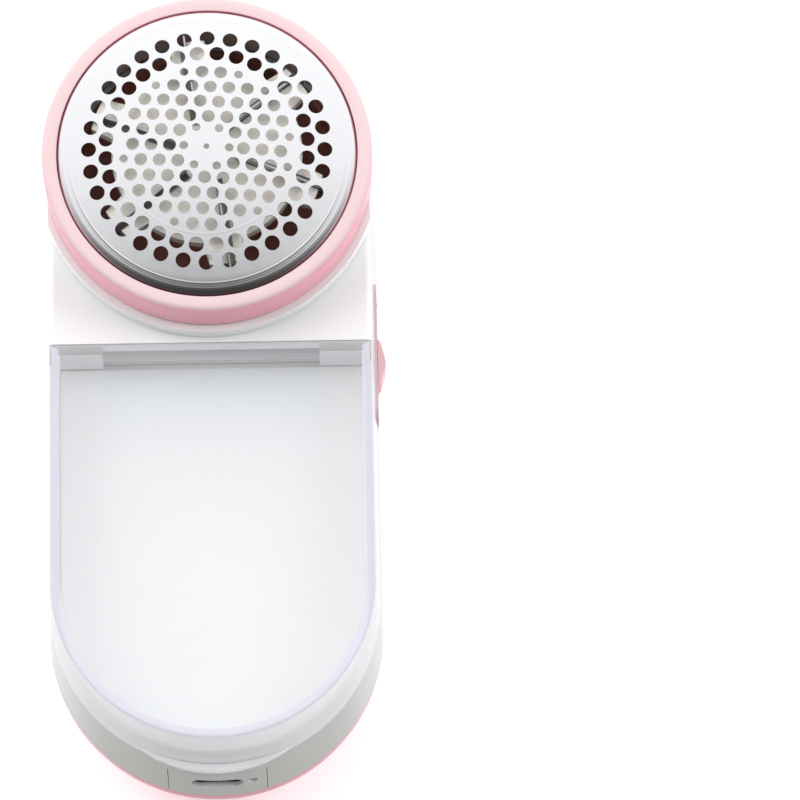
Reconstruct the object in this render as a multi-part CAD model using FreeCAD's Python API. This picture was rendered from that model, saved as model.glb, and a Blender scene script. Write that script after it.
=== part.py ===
"""A hand-held, rechargeable fabric shaver, lying on its back with the foil facing up.

The body is a long stadium in plan: a round head with a domed, perforated foil over a six-blade cutter, and a
handle that carries a clear lint box in front, a slide switch on its right side and a USB-C socket at its tail.
Everything is drawn about the cutter's axis, with +X to the right, +Y from the tail to the head and +Z from the
back to the foil, and is moved at the end so that the origin is at the bottom centre of the whole shaver.
Lengths are in millimetres.
"""

import FreeCAD, Part
import math
import os

V = FreeCAD.Vector

# ---------------------------------------------------------------- driving dimensions
# Body, in plan: two half rounds joined by straight sides. It narrows a little towards the front.
HEAD_TO_TAIL = 106.8
TAIL_LEAN = 2.7
FRONT_TAPER = 1.3
BODY_OVER_RING = 0.7
WALL = 1.8

# Levels above the back face.
PARTING_Z = 14.0
BACK_ROUNDING = 12.5
FRONT_ROUNDING = 1.0
MOTOR_REAR_Z = 4.0

# Head: the foil, the ring round it and the socket that takes them.
FOIL_RADIUS = 26.45
FOIL_THICKNESS = 0.3
FOIL_SKIRT = 6.4
FOIL_FLANGE = 0.7
DOME_RISE = 1.83
DOME_AT_RADIUS = 20.75
OUTER_HOLE_RADIUS = 1.32
FIELD_HOLE_RADIUS = 1.13
SMALL_HOLE_RADIUS = 0.75
CENTRE_HOLE_RADIUS = 0.5
HOLE_CIRCLES = (20.75, 17.74)
HOLES_PER_CIRCLE = 32
FIELD_PITCH = 3.253
FIELD_TURN = -4.0
RING_WALL = 2.65
RING_HEIGHT = 8.9
RING_SHOULDER = 1.2
COLLAR_LEDGE = 1.1
COLLAR_HEIGHT = 3.5
FLOOR_THICKNESS = 2.0
SHELF_THICKNESS = 1.6
SEAL_THICKNESS = 0.8
LUGS = 3
LUG_ANGLE = 16.0
LUG_HEIGHT = 1.5
RING_TURN = 60.0
RING_LIFT = 6.0

# Cutter.
BLADES = 6
BLADE_THICKNESS = 0.35
BLADE_INNER = 5.2
BLADE_OUTER = 22.4
BLADE_OFFSET = 0.8
FIRST_BLADE_ANGLE = -81.8
CARRIER_RADIUS = 16.8
ARM_RADIUS = 20.8
CARRIER_THICKNESS = 2.4
FLOAT_TRAVEL = 1.2
HEX_ACROSS_FLATS = 7.0

# Lint box and its throat.
BOX_DEPTH = 14.0
BOX_WALL = 1.7
BOX_END_WALL = 1.2
PAD_HEIGHT = 2.5
THROAT_HALF_WIDTH = 19.2
THROAT_HEIGHT = 6.2
LIP_HALF_WIDTH = 12.8
LIP_REACH = 1.1
LIP_THICKNESS = 1.6

# Slide switch on the right side.
SWITCH_Y = -28.5
SWITCH_Z = 22.0
PLATE_LENGTH = 25.6
PLATE_HEIGHT = 10.8
PLATE_THICKNESS = 0.8
SLIDER_LENGTH = 10.0
SWITCH_TRAVEL = 4.0
SWITCH_DEPTH = 5.0

# Charging port at the tail, and the board behind it.
PORT_Z = 19.8
PORT_PANEL_HALF_WIDTH = 8.7
PORT_PANEL_TOP = 24.0
USB_WIDTH = 8.94
USB_HEIGHT = 3.16
USB_DEPTH = 7.3
USB_SHEET = 0.3
BOARD_THICKNESS = 1.2
BOARD_HALF_WIDTH = 13.0
BOARD_LENGTH = 24.8
LED_X = 6.2

# Battery, motor and fasteners.
CELL_RADIUS = 7.1
CELL_LENGTH = 50.0
CELL_X = -5.0
CELL_Z = 12.5
CELL_TO_BOARD = 5.0
MOTOR_WIDTH = 20.1
MOTOR_FLATS = 15.1
MOTOR_LENGTH = 25.0
SHAFT_RADIUS = 1.0
SCREW_RADIUS = 1.3
SCREW_HEAD_RADIUS = 2.5
SCREW_HEAD_HEIGHT = 1.6
SCREW_RECESS = 5.0
SCREW_LENGTH = 14.0
POST_RADIUS = 3.6
WIRE_RADIUS = 0.65

# Clearances.
FIT = 0.1
RUNNING = 0.05
SLIDING = 0.25
GAP = 0.2
PRESS = 0.02

# ---------------------------------------------------------------- sizes and places worked out from them
RING_RADIUS = FOIL_RADIUS + RING_WALL
RING_BORE = FOIL_RADIUS + FOIL_FLANGE + 0.15
COLLAR_RADIUS = RING_RADIUS + COLLAR_LEDGE
SOCKET_RADIUS = RING_RADIUS - 2.2
CHAMBER_RADIUS = SOCKET_RADIUS - 2.3
BODY_HALF_WIDTH = RING_RADIUS + BODY_OVER_RING
FRONT_HALF_WIDTH = BODY_HALF_WIDTH - FRONT_TAPER
HEAD_Y = (HEAD_TO_TAIL - BODY_HALF_WIDTH) / 2
TAIL_CENTRE_Y = -(HEAD_TO_TAIL - BODY_HALF_WIDTH)
BOX_TOP_Y = -(COLLAR_RADIUS + 0.9)

MOTOR_FRONT_Z = MOTOR_REAR_Z + MOTOR_LENGTH
CHAMBER_FLOOR_Z = MOTOR_FRONT_Z + FLOOR_THICKNESS
THROAT_TOP_Z = CHAMBER_FLOOR_Z + THROAT_HEIGHT
SHELF_Z = THROAT_TOP_Z + SHELF_THICKNESS
SEAL_Z = SHELF_Z + SEAL_THICKNESS
LUG_Z = SEAL_Z + 1.2
LUG_REACH = SOCKET_RADIUS + 0.45
FRONT_Z = SHELF_Z + 3.2
COLLAR_Z = FRONT_Z + COLLAR_HEIGHT
RING_LOW_Z = COLLAR_Z + GAP
RING_TOP_Z = COLLAR_Z + RING_HEIGHT
RING_SHOULDER_Z = RING_TOP_Z - RING_SHOULDER
FOIL_RIM_Z = COLLAR_Z + 10.5
RETAINER_TOP_Z = FOIL_RIM_Z - FOIL_SKIRT
DOME_OUTER = (DOME_AT_RADIUS**2 + DOME_RISE**2) / (2 * DOME_RISE)
DOME_CENTRE_Z = FOIL_RIM_Z + DOME_RISE - DOME_OUTER
DOME_INNER = DOME_OUTER - FOIL_THICKNESS
CARRIER_TOP_Z = FOIL_RIM_Z - 1.4
STEM_BOTTOM_Z = CARRIER_TOP_Z - 13.6
HUB_FLANGE_Z = CHAMBER_FLOOR_Z + 3.0
HUB_TOP_Z = STEM_BOTTOM_Z + 5.0

SEAT_Z = FRONT_Z - BOX_DEPTH
PAD_TOP_Z = SEAT_Z + PAD_HEIGHT
PAD_INSET = BOX_WALL + SLIDING + 0.05
GROOVE_Z = (SEAT_Z + 0.6, SEAT_Z + 1.7)
GROOVE_DEPTH = 1.0

BOARD_TOP_Z = PORT_Z - USB_HEIGHT / 2
BOARD_INNER_Y = BOARD_LENGTH - HEAD_TO_TAIL
CELL_TAIL_Y = BOARD_INNER_Y + CELL_TO_BOARD
CELL_HEAD_Y = CELL_TAIL_Y + CELL_LENGTH
RIB_YS = (CELL_TAIL_Y + 9.0, CELL_TAIL_Y + 27.0, CELL_TAIL_Y + 43.0)
HEAD_SCREW_X = BODY_HALF_WIDTH - 9.8
SCREW_PLACES = [
    (-HEAD_SCREW_X, 6.0),
    (HEAD_SCREW_X, 6.0),
    (1.5 - HEAD_SCREW_X, TAIL_CENTRE_Y - 2.0),
    (HEAD_SCREW_X, TAIL_CENTRE_Y + 2.0),
]
BOARD_POSTS = [(-9.5, BOARD_INNER_Y - 4.0), (9.5, BOARD_INNER_Y - 4.0)]
BOARD_SCREW_RADIUS = 0.85
BOARD_SCREW_HEAD = 1.7
ROTOR_RADIUS = MOTOR_WIDTH / 2 - 4.0
MOTOR_SCREW_X = MOTOR_WIDTH / 4
MOTOR_SCREW_RADIUS = 1.0
MOTOR_SCREW_HEAD = 1.9
SLIDER_Y = SWITCH_Y - 0.5
EAR_Y = SLIDER_LENGTH / 2 + SWITCH_TRAVEL / 2 + 3.9
FAR = 200.0


# ---------------------------------------------------------------- drawing helpers
def block(x0, x1, y0, y1, z0, z1):
    return Part.makeBox(x1 - x0, y1 - y0, z1 - z0, V(x0, y0, z0))


def disc(radius, z0, z1, x=0.0, y=0.0):
    return Part.makeCylinder(radius, z1 - z0, V(x, y, z0))


def tube(inner, outer, z0, z1, x=0.0, y=0.0):
    return disc(outer, z0, z1, x, y).cut(disc(inner, z0 - 1, z1 + 1, x, y))


def turned(points):
    """The solid that a closed outline of (radius, z) points makes about the cutter's axis."""
    corners = [V(r, 0, z) for r, z in points]
    face = Part.Face(Part.makePolygon(corners + corners[:1]))
    return face.revolve(V(0, 0, 0), V(0, 0, 1), 360)


def prism(points, z0, z1):
    corners = [V(x, y, z0) for x, y in points]
    face = Part.Face(Part.makePolygon(corners + corners[:1]))
    return face.extrude(V(0, 0, z1 - z0))


def stadium(z, radius, tail_y, head_y=0.0):
    """A closed outline at height z: a half round at each end, joined by straight sides."""
    head = Part.Arc(V(radius, head_y, z), V(0, head_y + radius, z), V(-radius, head_y, z))
    tail = Part.Arc(V(-radius, tail_y, z), V(0, tail_y - radius, z), V(radius, tail_y, z))
    left = Part.LineSegment(V(-radius, head_y, z), V(-radius, tail_y, z))
    right = Part.LineSegment(V(radius, tail_y, z), V(radius, head_y, z))
    return Part.Wire([edge.toShape() for edge in (head, left, tail, right)])


def body_outline(z, inset):
    rise = (z - PARTING_Z) / (FRONT_Z - PARTING_Z)
    radius = BODY_HALF_WIDTH + (FRONT_HALF_WIDTH - BODY_HALF_WIDTH) * rise - inset
    return stadium(z, radius, TAIL_CENTRE_Y + TAIL_LEAN * rise)


def body_block(z0, z1, inset):
    """The body's own shape between two levels, drawn in by inset all round."""
    return Part.makeLoft([body_outline(z0, inset), body_outline(z1, inset)], True, True)


def back_block(inset, z0):
    """The back cover's shape: upright at the parting line, with one large rounding down to the flat back."""
    outline = stadium(PARTING_Z, BODY_HALF_WIDTH - inset, TAIL_CENTRE_Y)
    solid = Part.Face(outline).extrude(V(0, 0, z0 - PARTING_Z))
    low = [e for e in solid.Edges if abs(e.BoundBox.ZMax - z0) < 1e-6 and abs(e.BoundBox.ZMin - z0) < 1e-6]
    return solid.makeFillet(BACK_ROUNDING - inset, low)


def round_slot(width, height, y0, y1, x, z):
    """A rounded bar along Y with a level, obround section, such as the outside or inside of a USB-C socket."""
    end = height / 2
    reach = width / 2 - end
    ends = [
        Part.makeCylinder(end, y1 - y0, V(x + side * reach, y0, z), V(0, 1, 0)) for side in (-1, 1)
    ]
    middle = block(x - reach, x + reach, y0, y1, z - end, z + end)
    return middle.fuse(ends).removeSplitter()


def hexagon(across_flats, z0, z1):
    corner = across_flats / math.sqrt(3)
    points = [
        (corner * math.cos(math.radians(60 * k)), corner * math.sin(math.radians(60 * k)))
        for k in range(6)
    ]
    return prism(points, z0, z1)


def turn(shape, angle):
    shape = shape.copy()
    shape.rotate(V(0, 0, 0), V(0, 0, 1), angle)
    return shape


def foil_height(radius, dome):
    """Height of a dome of that radius above the back face, at a distance from the cutter's axis."""
    return DOME_CENTRE_Z + math.sqrt(dome**2 - radius**2)


# ---------------------------------------------------------------- lines that several pieces share
def side_x(z):
    """Half the body's width at a height."""
    rise = (z - PARTING_Z) / (FRONT_Z - PARTING_Z)
    return BODY_HALF_WIDTH + (FRONT_HALF_WIDTH - BODY_HALF_WIDTH) * rise


def along_cell(radius):
    """A round bar on the battery's own line, longer than the battery."""
    return Part.makeCylinder(radius, FAR, V(CELL_X, -FAR, CELL_Z), V(0, 1, 0))


def thread(inner, outer, z0, z1, middle, before, after):
    """A square thread past a lug's middle at rest, rising as the ring does when it is turned to come off."""
    lead = RING_LIFT * 360.0 / RING_TURN
    path = Part.makeHelix(lead, lead * (before + after) / 360.0, outer)
    corners = [V(inner, 0, z0), V(outer, 0, z0), V(outer, 0, z1), V(inner, 0, z1)]
    solid = Part.Wire(path).makePipeShell([Part.makePolygon(corners + corners[:1])], True, True)
    solid.translate(V(0, 0, -lead * before / 360.0))
    return turn(solid, middle - before)


# ---------------------------------------------------------------- housing
def front_housing():
    """White front shell: the handle's front, the seat of the lint box, the head's collar and cutter chamber."""
    shell = body_block(PARTING_Z, FRONT_Z, 0)
    rim = [e for e in shell.Edges if e.BoundBox.ZMin > FRONT_Z - 1e-6]
    shell = shell.makeFillet(FRONT_ROUNDING, rim)
    prow = Part.Face(body_outline(FRONT_Z, 0)).extrude(V(0, 0, FAR))
    prow.translate(V(0, 0, -FRONT_ROUNDING))
    shell = shell.fuse(disc(COLLAR_RADIUS, FRONT_Z - FRONT_ROUNDING, COLLAR_Z).common(prow))
    outside = shell.copy()

    shell = shell.cut(body_block(PARTING_Z - 1, SEAT_Z - WALL, WALL))
    head_room = body_block(SEAT_Z - WALL - 1, FRONT_Z - WALL, WALL)
    shell = shell.cut(head_room.common(block(-FAR, FAR, BOX_TOP_Y + WALL, FAR, 0, FAR)))
    shell = shell.cut(block(-FAR, FAR, -FAR, BOX_TOP_Y, SEAT_Z, FAR))

    # The cutter chamber, its shelf, the socket for the ring, and the throat to the lint box.
    inner = CHAMBER_RADIUS + SHELF_THICKNESS
    throat = THROAT_HALF_WIDTH + SHELF_THICKNESS
    parts = [disc(inner, MOTOR_FRONT_Z, SHELF_Z)]
    parts.append(disc(SOCKET_RADIUS + 1.6, SHELF_Z - SHELF_THICKNESS, COLLAR_Z))
    parts.append(block(-throat, throat, BOX_TOP_Y, -inner / 2, MOTOR_FRONT_Z, SHELF_Z))
    shell = shell.fuse([part.common(outside) for part in parts])
    shell = shell.cut(disc(CHAMBER_RADIUS, CHAMBER_FLOOR_Z, FAR))
    shell = shell.cut(disc(SOCKET_RADIUS, SHELF_Z, FAR))
    throat = THROAT_HALF_WIDTH
    shell = shell.cut(block(-throat, throat, BOX_TOP_Y - 1, -inner / 2, CHAMBER_FLOOR_Z, THROAT_TOP_Z))
    reach = LUG_REACH + SLIDING
    for lug in range(LUGS):
        before, after = LUG_ANGLE / 2 + 2, LUG_ANGLE / 2 + RING_TURN + 6
        low, top = LUG_Z - GAP, LUG_Z + LUG_HEIGHT + GAP
        shell = shell.cut(thread(SOCKET_RADIUS - 0.6, reach, low, top, 360.0 / LUGS * lug, before, after))

    # The raised pad that the lint box slides over, hollow below, with a groove along each side.
    bay = block(-FAR, FAR, -FAR, BOX_TOP_Y - BOX_END_WALL - 0.3, 0, FAR)
    pad = body_block(SEAT_Z - WALL / 2, PAD_TOP_Z, PAD_INSET).common(bay)
    hollow = body_block(SEAT_Z - WALL - 1, PAD_TOP_Z - WALL, PAD_INSET + WALL + 1)
    hollow = hollow.common(block(-FAR, FAR, -FAR, BOX_TOP_Y - WALL - 2, 0, FAR))
    shell = shell.fuse(pad).cut(hollow)
    edge = side_x(SEAT_Z) - PAD_INSET
    for side in (-1, 1):
        inner_x, outer_x = sorted((side * (edge - GROOVE_DEPTH), side * (edge + 1)))
        shell = shell.cut(block(inner_x, outer_x, -FAR, BOX_TOP_Y, *GROOVE_Z))

    # Posts for the housing screws and the circuit board, and ribs that steady the battery.
    under_pad = PAD_TOP_Z - WALL / 2
    for x, y in SCREW_PLACES:
        top = MOTOR_FRONT_Z + FLOOR_THICKNESS / 2 if y > BOX_TOP_Y else under_pad
        post = disc(POST_RADIUS, PARTING_Z, top, x, y).common(outside)
        shell = shell.fuse(post)
        shell = shell.cut(disc(SCREW_RADIUS, PARTING_Z - 1, SCREW_RECESS + SCREW_LENGTH + 3.6, x, y))
    for x, y in BOARD_POSTS:
        shell = shell.fuse(disc(2.2, BOARD_TOP_Z, under_pad, x, y))
        shell = shell.cut(disc(BOARD_SCREW_RADIUS, BOARD_TOP_Z - 1, BOARD_TOP_Z + 5.5, x, y))
    half = CELL_RADIUS - 1.1
    for y in RIB_YS[:2]:
        rib = block(CELL_X - half, CELL_X + half, y - 0.8, y + 0.8, CELL_Z + 2, under_pad)
        shell = shell.fuse(rib.cut(along_cell(CELL_RADIUS + FIT)))

    # Bosses for the switch's bracket, and openings for the motor, the switch plate and the port panel.
    face = side_x(SWITCH_Z)
    for side in (-1, 1):
        root = V(switch_x() + 0.4, SLIDER_Y + side * EAR_Y, SWITCH_Z)
        wall_x = face - WALL / 2
        shell = shell.fuse(Part.makeCylinder(1.8, wall_x - root.x, root, V(1, 0, 0)))
        shell = shell.cut(Part.makeCylinder(0.7, wall_x - root.x - 0.3, root, V(1, 0, 0)))
        x = side * MOTOR_SCREW_X
        shell = shell.cut(disc(MOTOR_SCREW_RADIUS + FIT, MOTOR_FRONT_Z - 1, CHAMBER_FLOOR_Z + 1, x, 0))
        shell = shell.cut(disc(MOTOR_SCREW_HEAD + FIT, CHAMBER_FLOOR_Z - 1.2, CHAMBER_FLOOR_Z + 1, x, 0))
    shell = shell.cut(disc(3.1 + FIT, MOTOR_FRONT_Z - 1, CHAMBER_FLOOR_Z + 1))
    shell = shell.cut([switch_recess(), switch_window(FIT), port_opening(FIT)])
    return shell.removeSplitter()


def back_housing():
    """Pink back cover: a shallow tray with a large rounding, screw bosses and a cradle for the battery."""
    shell = back_block(0, 0).cut(back_block(WALL, WALL))
    outside = back_block(WALL / 2, WALL / 2)
    for x, y in SCREW_PLACES:
        shell = shell.fuse(disc(POST_RADIUS + 0.6, 0, PARTING_Z, x, y).common(outside))
    for y in RIB_YS:
        half = CELL_RADIUS + 1.9
        rib = block(CELL_X - half, CELL_X + half, y - 0.8, y + 0.8, WALL / 2, CELL_Z)
        shell = shell.fuse(rib.cut(along_cell(CELL_RADIUS + FIT)).common(outside))
    for side in (-1, 1):
        wall_x = side * (MOTOR_WIDTH / 2 + 0.2)
        x0, x1 = sorted((wall_x, wall_x + side * 1.6))
        shell = shell.fuse(block(x0, x1, -5, 5, WALL / 2, PARTING_Z))
    for x, y in SCREW_PLACES:
        shell = shell.cut(disc(SCREW_RADIUS + FIT, -1, PARTING_Z + 1, x, y))
        shell = shell.cut(disc(SCREW_HEAD_RADIUS + 0.3, -1, SCREW_RECESS + SCREW_HEAD_HEIGHT, x, y))
    return shell.removeSplitter()


def pan_head_screw(x, y, z, head_radius, head_height, radius, length):
    """A pan-head screw that points up, with its head's underside at z, and a cross cut in the head."""
    head = disc(head_radius, z - head_height, z, x, y)
    rim = [e for e in head.Edges if e.BoundBox.ZMax < z - head_height + 1e-6]
    head = head.makeFillet(head_height * 0.4, rim)
    point = Part.makeCone(radius, radius * 0.3, radius, V(x, y, z + length - radius))
    screw = head.fuse([disc(radius, z, z + length - radius, x, y), point])
    arm = head_radius * 0.55
    slot = radius * 0.28
    low = z - head_height
    for half_x, half_y in ((arm, slot), (slot, arm)):
        screw = screw.cut(block(x - half_x, x + half_x, y - half_y, y + half_y, low - 1, low + head_height * 0.5))
    return screw.removeSplitter()


def housing_screws():
    z = SCREW_RECESS + SCREW_HEAD_HEIGHT
    radius = SCREW_RADIUS - PRESS
    return Part.makeCompound(
        [
            pan_head_screw(x, y, z, SCREW_HEAD_RADIUS, SCREW_HEAD_HEIGHT, radius, SCREW_LENGTH)
            for x, y in SCREW_PLACES
        ]
    )


# ---------------------------------------------------------------- head: ring, foil and the carrier that joins them
def head_ring():
    """Pink ring that carries the foil: a plain wall, a rounded shoulder and a lip that stands round the foil."""
    lip = FOIL_RADIUS + 0.3
    outline = [
        (RING_BORE, RING_LOW_Z),
        (RING_RADIUS - 0.15, RING_LOW_Z),
        (RING_RADIUS, RING_LOW_Z + 0.3),
        (RING_RADIUS, RING_SHOULDER_Z),
        (RING_RADIUS - 0.8, RING_TOP_Z - 0.3),
        (lip + 0.4, RING_TOP_Z),
        (lip, RING_TOP_Z - 0.4),
        (lip, RETAINER_TOP_Z + FOIL_THICKNESS + 0.2),
        (RING_BORE, RETAINER_TOP_Z + FOIL_THICKNESS + 0.2),
    ]
    ring = turned(outline)
    shoulder = [
        e
        for e in ring.Edges
        if e.BoundBox.XMax > RING_RADIUS - 0.9 and RING_SHOULDER_Z - 0.01 < e.BoundBox.ZMin < RING_TOP_Z - 0.2
        and e.BoundBox.ZLength < 1e-6
    ]
    return ring.makeFillet(0.6, shoulder)


def foil_carrier():
    """White ring pressed into the pink one from below: it traps the foil's flange and carries the thread's lugs."""
    skirt_top = COLLAR_Z + 2 * GAP
    flange = tube(SOCKET_RADIUS - 2.7, RING_BORE - PRESS, skirt_top, RETAINER_TOP_Z)
    skirt = tube(SOCKET_RADIUS - 1.5, SOCKET_RADIUS - 0.3, SEAL_Z + 0.05, skirt_top)
    half, top = LUG_ANGLE / 2, LUG_Z + LUG_HEIGHT
    lugs = [
        thread(SOCKET_RADIUS - 0.5, LUG_REACH, LUG_Z, top, 360.0 / LUGS * k, half, half) for k in range(LUGS)
    ]
    return flange.fuse([skirt, *lugs]).removeSplitter()


def ring_seal():
    """Flat rubber ring between the carrier's skirt and the shelf of the cutter chamber."""
    return tube(SOCKET_RADIUS - 1.4, SOCKET_RADIUS - 0.4, SHELF_Z, SEAL_Z)


def foil_plate():
    """Domed steel foil with its rolled edge, skirt and flange, before and after the holes are punched."""
    flat = FOIL_RADIUS - 2.05
    roll_z = FOIL_RIM_Z - 2.6
    skirt = FOIL_RADIUS - FOIL_THICKNESS
    flange_z = RETAINER_TOP_Z + FOIL_THICKNESS
    steps = 8
    outside = [(flat + 0.5, foil_height(flat, DOME_OUTER) - 0.18)]
    inside = [(flat + 0.35, foil_height(flat, DOME_INNER) - 0.18)]
    for k in range(1, steps + 1):
        a = math.radians(90.0 * k / steps)
        outer_run, outer_drop = FOIL_RADIUS - outside[0][0], outside[0][1] - roll_z
        inner_run, inner_drop = skirt - inside[0][0], inside[0][1] - roll_z
        outside.append((outside[0][0] + outer_run * math.sin(a), roll_z + outer_drop * math.cos(a)))
        inside.append((inside[0][0] + inner_run * math.sin(a), roll_z + inner_drop * math.cos(a)))
    top = V(0, 0, DOME_CENTRE_Z + DOME_OUTER)
    low = V(0, 0, DOME_CENTRE_Z + DOME_INNER)
    top_end = V(flat, 0, foil_height(flat, DOME_OUTER))
    low_end = V(flat, 0, foil_height(flat, DOME_INNER))
    half = flat / 2
    upper = Part.Arc(top, V(half, 0, foil_height(half, DOME_OUTER)), top_end).toShape()
    lower = Part.Arc(low_end, V(half, 0, foil_height(half, DOME_INNER)), low).toShape()
    rest = [(r, z) for r, z in outside]
    rest += [(FOIL_RADIUS, flange_z), (RING_BORE - 0.15, flange_z), (RING_BORE - 0.15, RETAINER_TOP_Z)]
    rest += [(skirt, RETAINER_TOP_Z)] + inside[::-1]
    edge = Part.makePolygon([top_end] + [V(r, 0, z) for r, z in rest] + [low_end])
    outline = Part.Wire([upper, *edge.Edges, lower, Part.LineSegment(low, top).toShape()])
    plate = Part.Face(outline).revolve(V(0, 0, 0), V(0, 0, 1), 360)
    punches = [disc(r, FOIL_RIM_Z - 4, FOIL_RIM_Z + 4, x, y) for x, y, r in foil_holes()]
    return plate.cut(Part.makeCompound(punches))


def foil_holes():
    """Centre and radius of every hole: two staggered circles, and a hexagonal field with small holes at its edge."""
    holes = []
    for circle, radius in enumerate(HOLE_CIRCLES):
        for k in range(HOLES_PER_CIRCLE):
            a = math.radians(90.0 - 0.8 - 360.0 * (k + circle / 2) / HOLES_PER_CIRCLE)
            holes.append((radius * math.cos(a), radius * math.sin(a), OUTER_HOLE_RADIUS))
    tilt = math.radians(FIELD_TURN)
    for row in range(-5, 6):
        for column in range(-5, 6):
            x = FIELD_PITCH * (column + (row % 2) / 2)
            y = FIELD_PITCH * row * math.sqrt(3) / 2
            distance = math.hypot(x, y) / FIELD_PITCH
            if distance > 4.6:
                continue
            radius, scale = FIELD_HOLE_RADIUS, 1.0
            if distance < 0.5:
                radius = CENTRE_HOLE_RADIUS
            elif distance < 1.2:
                radius, scale = SMALL_HOLE_RADIUS, 1.23
            elif distance > 4.5:
                radius, scale = SMALL_HOLE_RADIUS, 0.985
            turned_x = math.cos(tilt) * x - math.sin(tilt) * y
            turned_y = math.sin(tilt) * x + math.cos(tilt) * y
            holes.append((scale * turned_x, scale * turned_y, radius))
    return holes


# ---------------------------------------------------------------- cutter and drive
def blade_blank(clearance, z0, z1):
    """A thin upright plate along +X, set off to one side of the cutter's axis."""
    half = BLADE_THICKNESS / 2 + clearance
    return block(BLADE_INNER - clearance, BLADE_OUTER + clearance, BLADE_OFFSET - half, BLADE_OFFSET + half, z0, z1)


def cutter_blade(k):
    dome = Part.makeSphere(DOME_INNER - FIT, V(0, 0, DOME_CENTRE_Z))
    blade = turn(blade_blank(0, CARRIER_TOP_Z - 5.4, FAR), FIRST_BLADE_ANGLE + 360.0 / BLADES * k)
    return blade.common(dome)


def cutter_carrier():
    """Cream plastic rotor: a disc with six arms, a slotted web under each arm and a stem with a hexagonal socket."""
    low = CARRIER_TOP_Z - CARRIER_THICKNESS
    rotor = disc(CARRIER_RADIUS, low, CARRIER_TOP_Z)
    stem = disc(HEX_ACROSS_FLATS / 2 + 2.6, STEM_BOTTOM_Z, low)
    arms, webs, slots = [], [], []
    for k in range(BLADES):
        angle = FIRST_BLADE_ANGLE + 360.0 / BLADES * k
        start = CARRIER_RADIUS - 2.5
        sides = [(start, -3.4), (ARM_RADIUS, -2.6), (ARM_RADIUS, 3.2), (start, 4.0)]
        arm = prism(sides, low, CARRIER_TOP_Z).common(disc(ARM_RADIUS, low, CARRIER_TOP_Z))
        arms.append(turn(arm, angle))
        web = block(BLADE_INNER - 1, ARM_RADIUS - 0.4, BLADE_OFFSET - 1.4, BLADE_OFFSET + 1.4, low - 3.4, low)
        webs.append(turn(web, angle))
        slot = block(BLADE_INNER, BLADE_OUTER + FIT, BLADE_OFFSET - 0.3, BLADE_OFFSET + 1.1, low, CARRIER_TOP_Z + 1)
        slots.append(turn(slot, angle))
        slots.append(turn(blade_blank(0.01, low - 3.1, low + 1), angle))
    rotor = rotor.fuse([stem, *arms, *webs])
    socket = hexagon(HEX_ACROSS_FLATS + 2 * FIT, STEM_BOTTOM_Z - 1, HUB_TOP_Z + FLOAT_TRAVEL + 1.0)
    return rotor.cut([socket, *slots]).removeSplitter()


def drive_hub():
    """Nylon hub pressed on the motor's shaft: a flange for the spring and a hexagon that turns the carrier."""
    flange = disc(6.4, HUB_FLANGE_Z, HUB_FLANGE_Z + 1.2)
    neck = disc(3.4, HUB_FLANGE_Z, HUB_FLANGE_Z + 4)
    key = hexagon(HEX_ACROSS_FLATS, HUB_FLANGE_Z + 3, HUB_TOP_Z)
    hub = flange.fuse([neck, key])
    return hub.cut(disc(SHAFT_RADIUS, 0, HUB_TOP_Z - 2)).removeSplitter()


def carrier_spring():
    """Compression spring that presses the cutter up against the foil."""
    wire = 0.3
    coil = HEX_ACROSS_FLATS / 2 + 1.6
    bottom = HUB_FLANGE_Z + 1.2 + wire
    height = STEM_BOTTOM_Z - wire - 0.02 - bottom
    helix = Part.makeLongHelix(height / 4, height, coil)
    section = Part.Wire(Part.makeCircle(wire, V(coil, 0, 0), V(0, 1, 0)))
    spring = Part.Wire(helix).makePipeShell([section], True, True)
    spring.translate(V(0, 0, bottom))
    return spring


def motor_shaft():
    return disc(SHAFT_RADIUS, MOTOR_REAR_Z - 1.2, HUB_TOP_Z - 2.1)


def motor_section(inset, z0, z1):
    """The motor's outline: round, with two flats."""
    flats = MOTOR_FLATS / 2 - inset
    return disc(MOTOR_WIDTH / 2 - inset, z0, z1).common(block(-FAR, FAR, -flats, flats, z0, z1))


def motor_can():
    """Drawn steel can, open at the rear, with a boss round the shaft at the front."""
    rear = MOTOR_REAR_Z + 3
    can = motor_section(0, rear, MOTOR_FRONT_Z).cut(motor_section(1.0, rear - 1, MOTOR_FRONT_Z - 1.0))
    can = can.fuse(disc(3.1, MOTOR_FRONT_Z - 0.5, MOTOR_FRONT_Z + 1.4))
    can = can.cut(disc(SHAFT_RADIUS + RUNNING, 0, FAR))
    for side in (-1, 1):
        can = can.cut(disc(MOTOR_SCREW_RADIUS, MOTOR_FRONT_Z - 2, FAR, side * MOTOR_SCREW_X, 0))
    return can.removeSplitter()


def motor_end_cap():
    rear = MOTOR_REAR_Z
    cap = motor_section(0, rear, rear + 3).fuse(motor_section(1.0 + RUNNING, rear + 2, rear + 4.5))
    cap = cap.fuse(disc(3.0, rear - 1.0, rear + 1))
    cap = cap.cut(disc(SHAFT_RADIUS + RUNNING, 0, FAR))
    for side in (-1, 1):
        cap = cap.cut(block(side * 7.6 - 0.25, side * 7.6 + 0.25, -1.1, 1.1, rear - 2, rear + 2.2))
    return cap.removeSplitter()


def motor_terminal(side):
    """Brass tab that stands out of the end cap."""
    rear = MOTOR_REAR_Z
    x = side * 7.6
    return block(x - 0.22, x + 0.22, -1.05, 1.05, rear - 1.4, rear + 2.15)


def motor_rotor():
    """Wound armature on the shaft, inside the can, with three slots."""
    core = tube(SHAFT_RADIUS, ROTOR_RADIUS, MOTOR_REAR_Z + 8, MOTOR_FRONT_Z - 4)
    slots = [turn(block(4.0, 8.0, -0.6, 0.6, 0, FAR), 120.0 * k) for k in range(3)]
    return core.cut(slots).removeSplitter()


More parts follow.
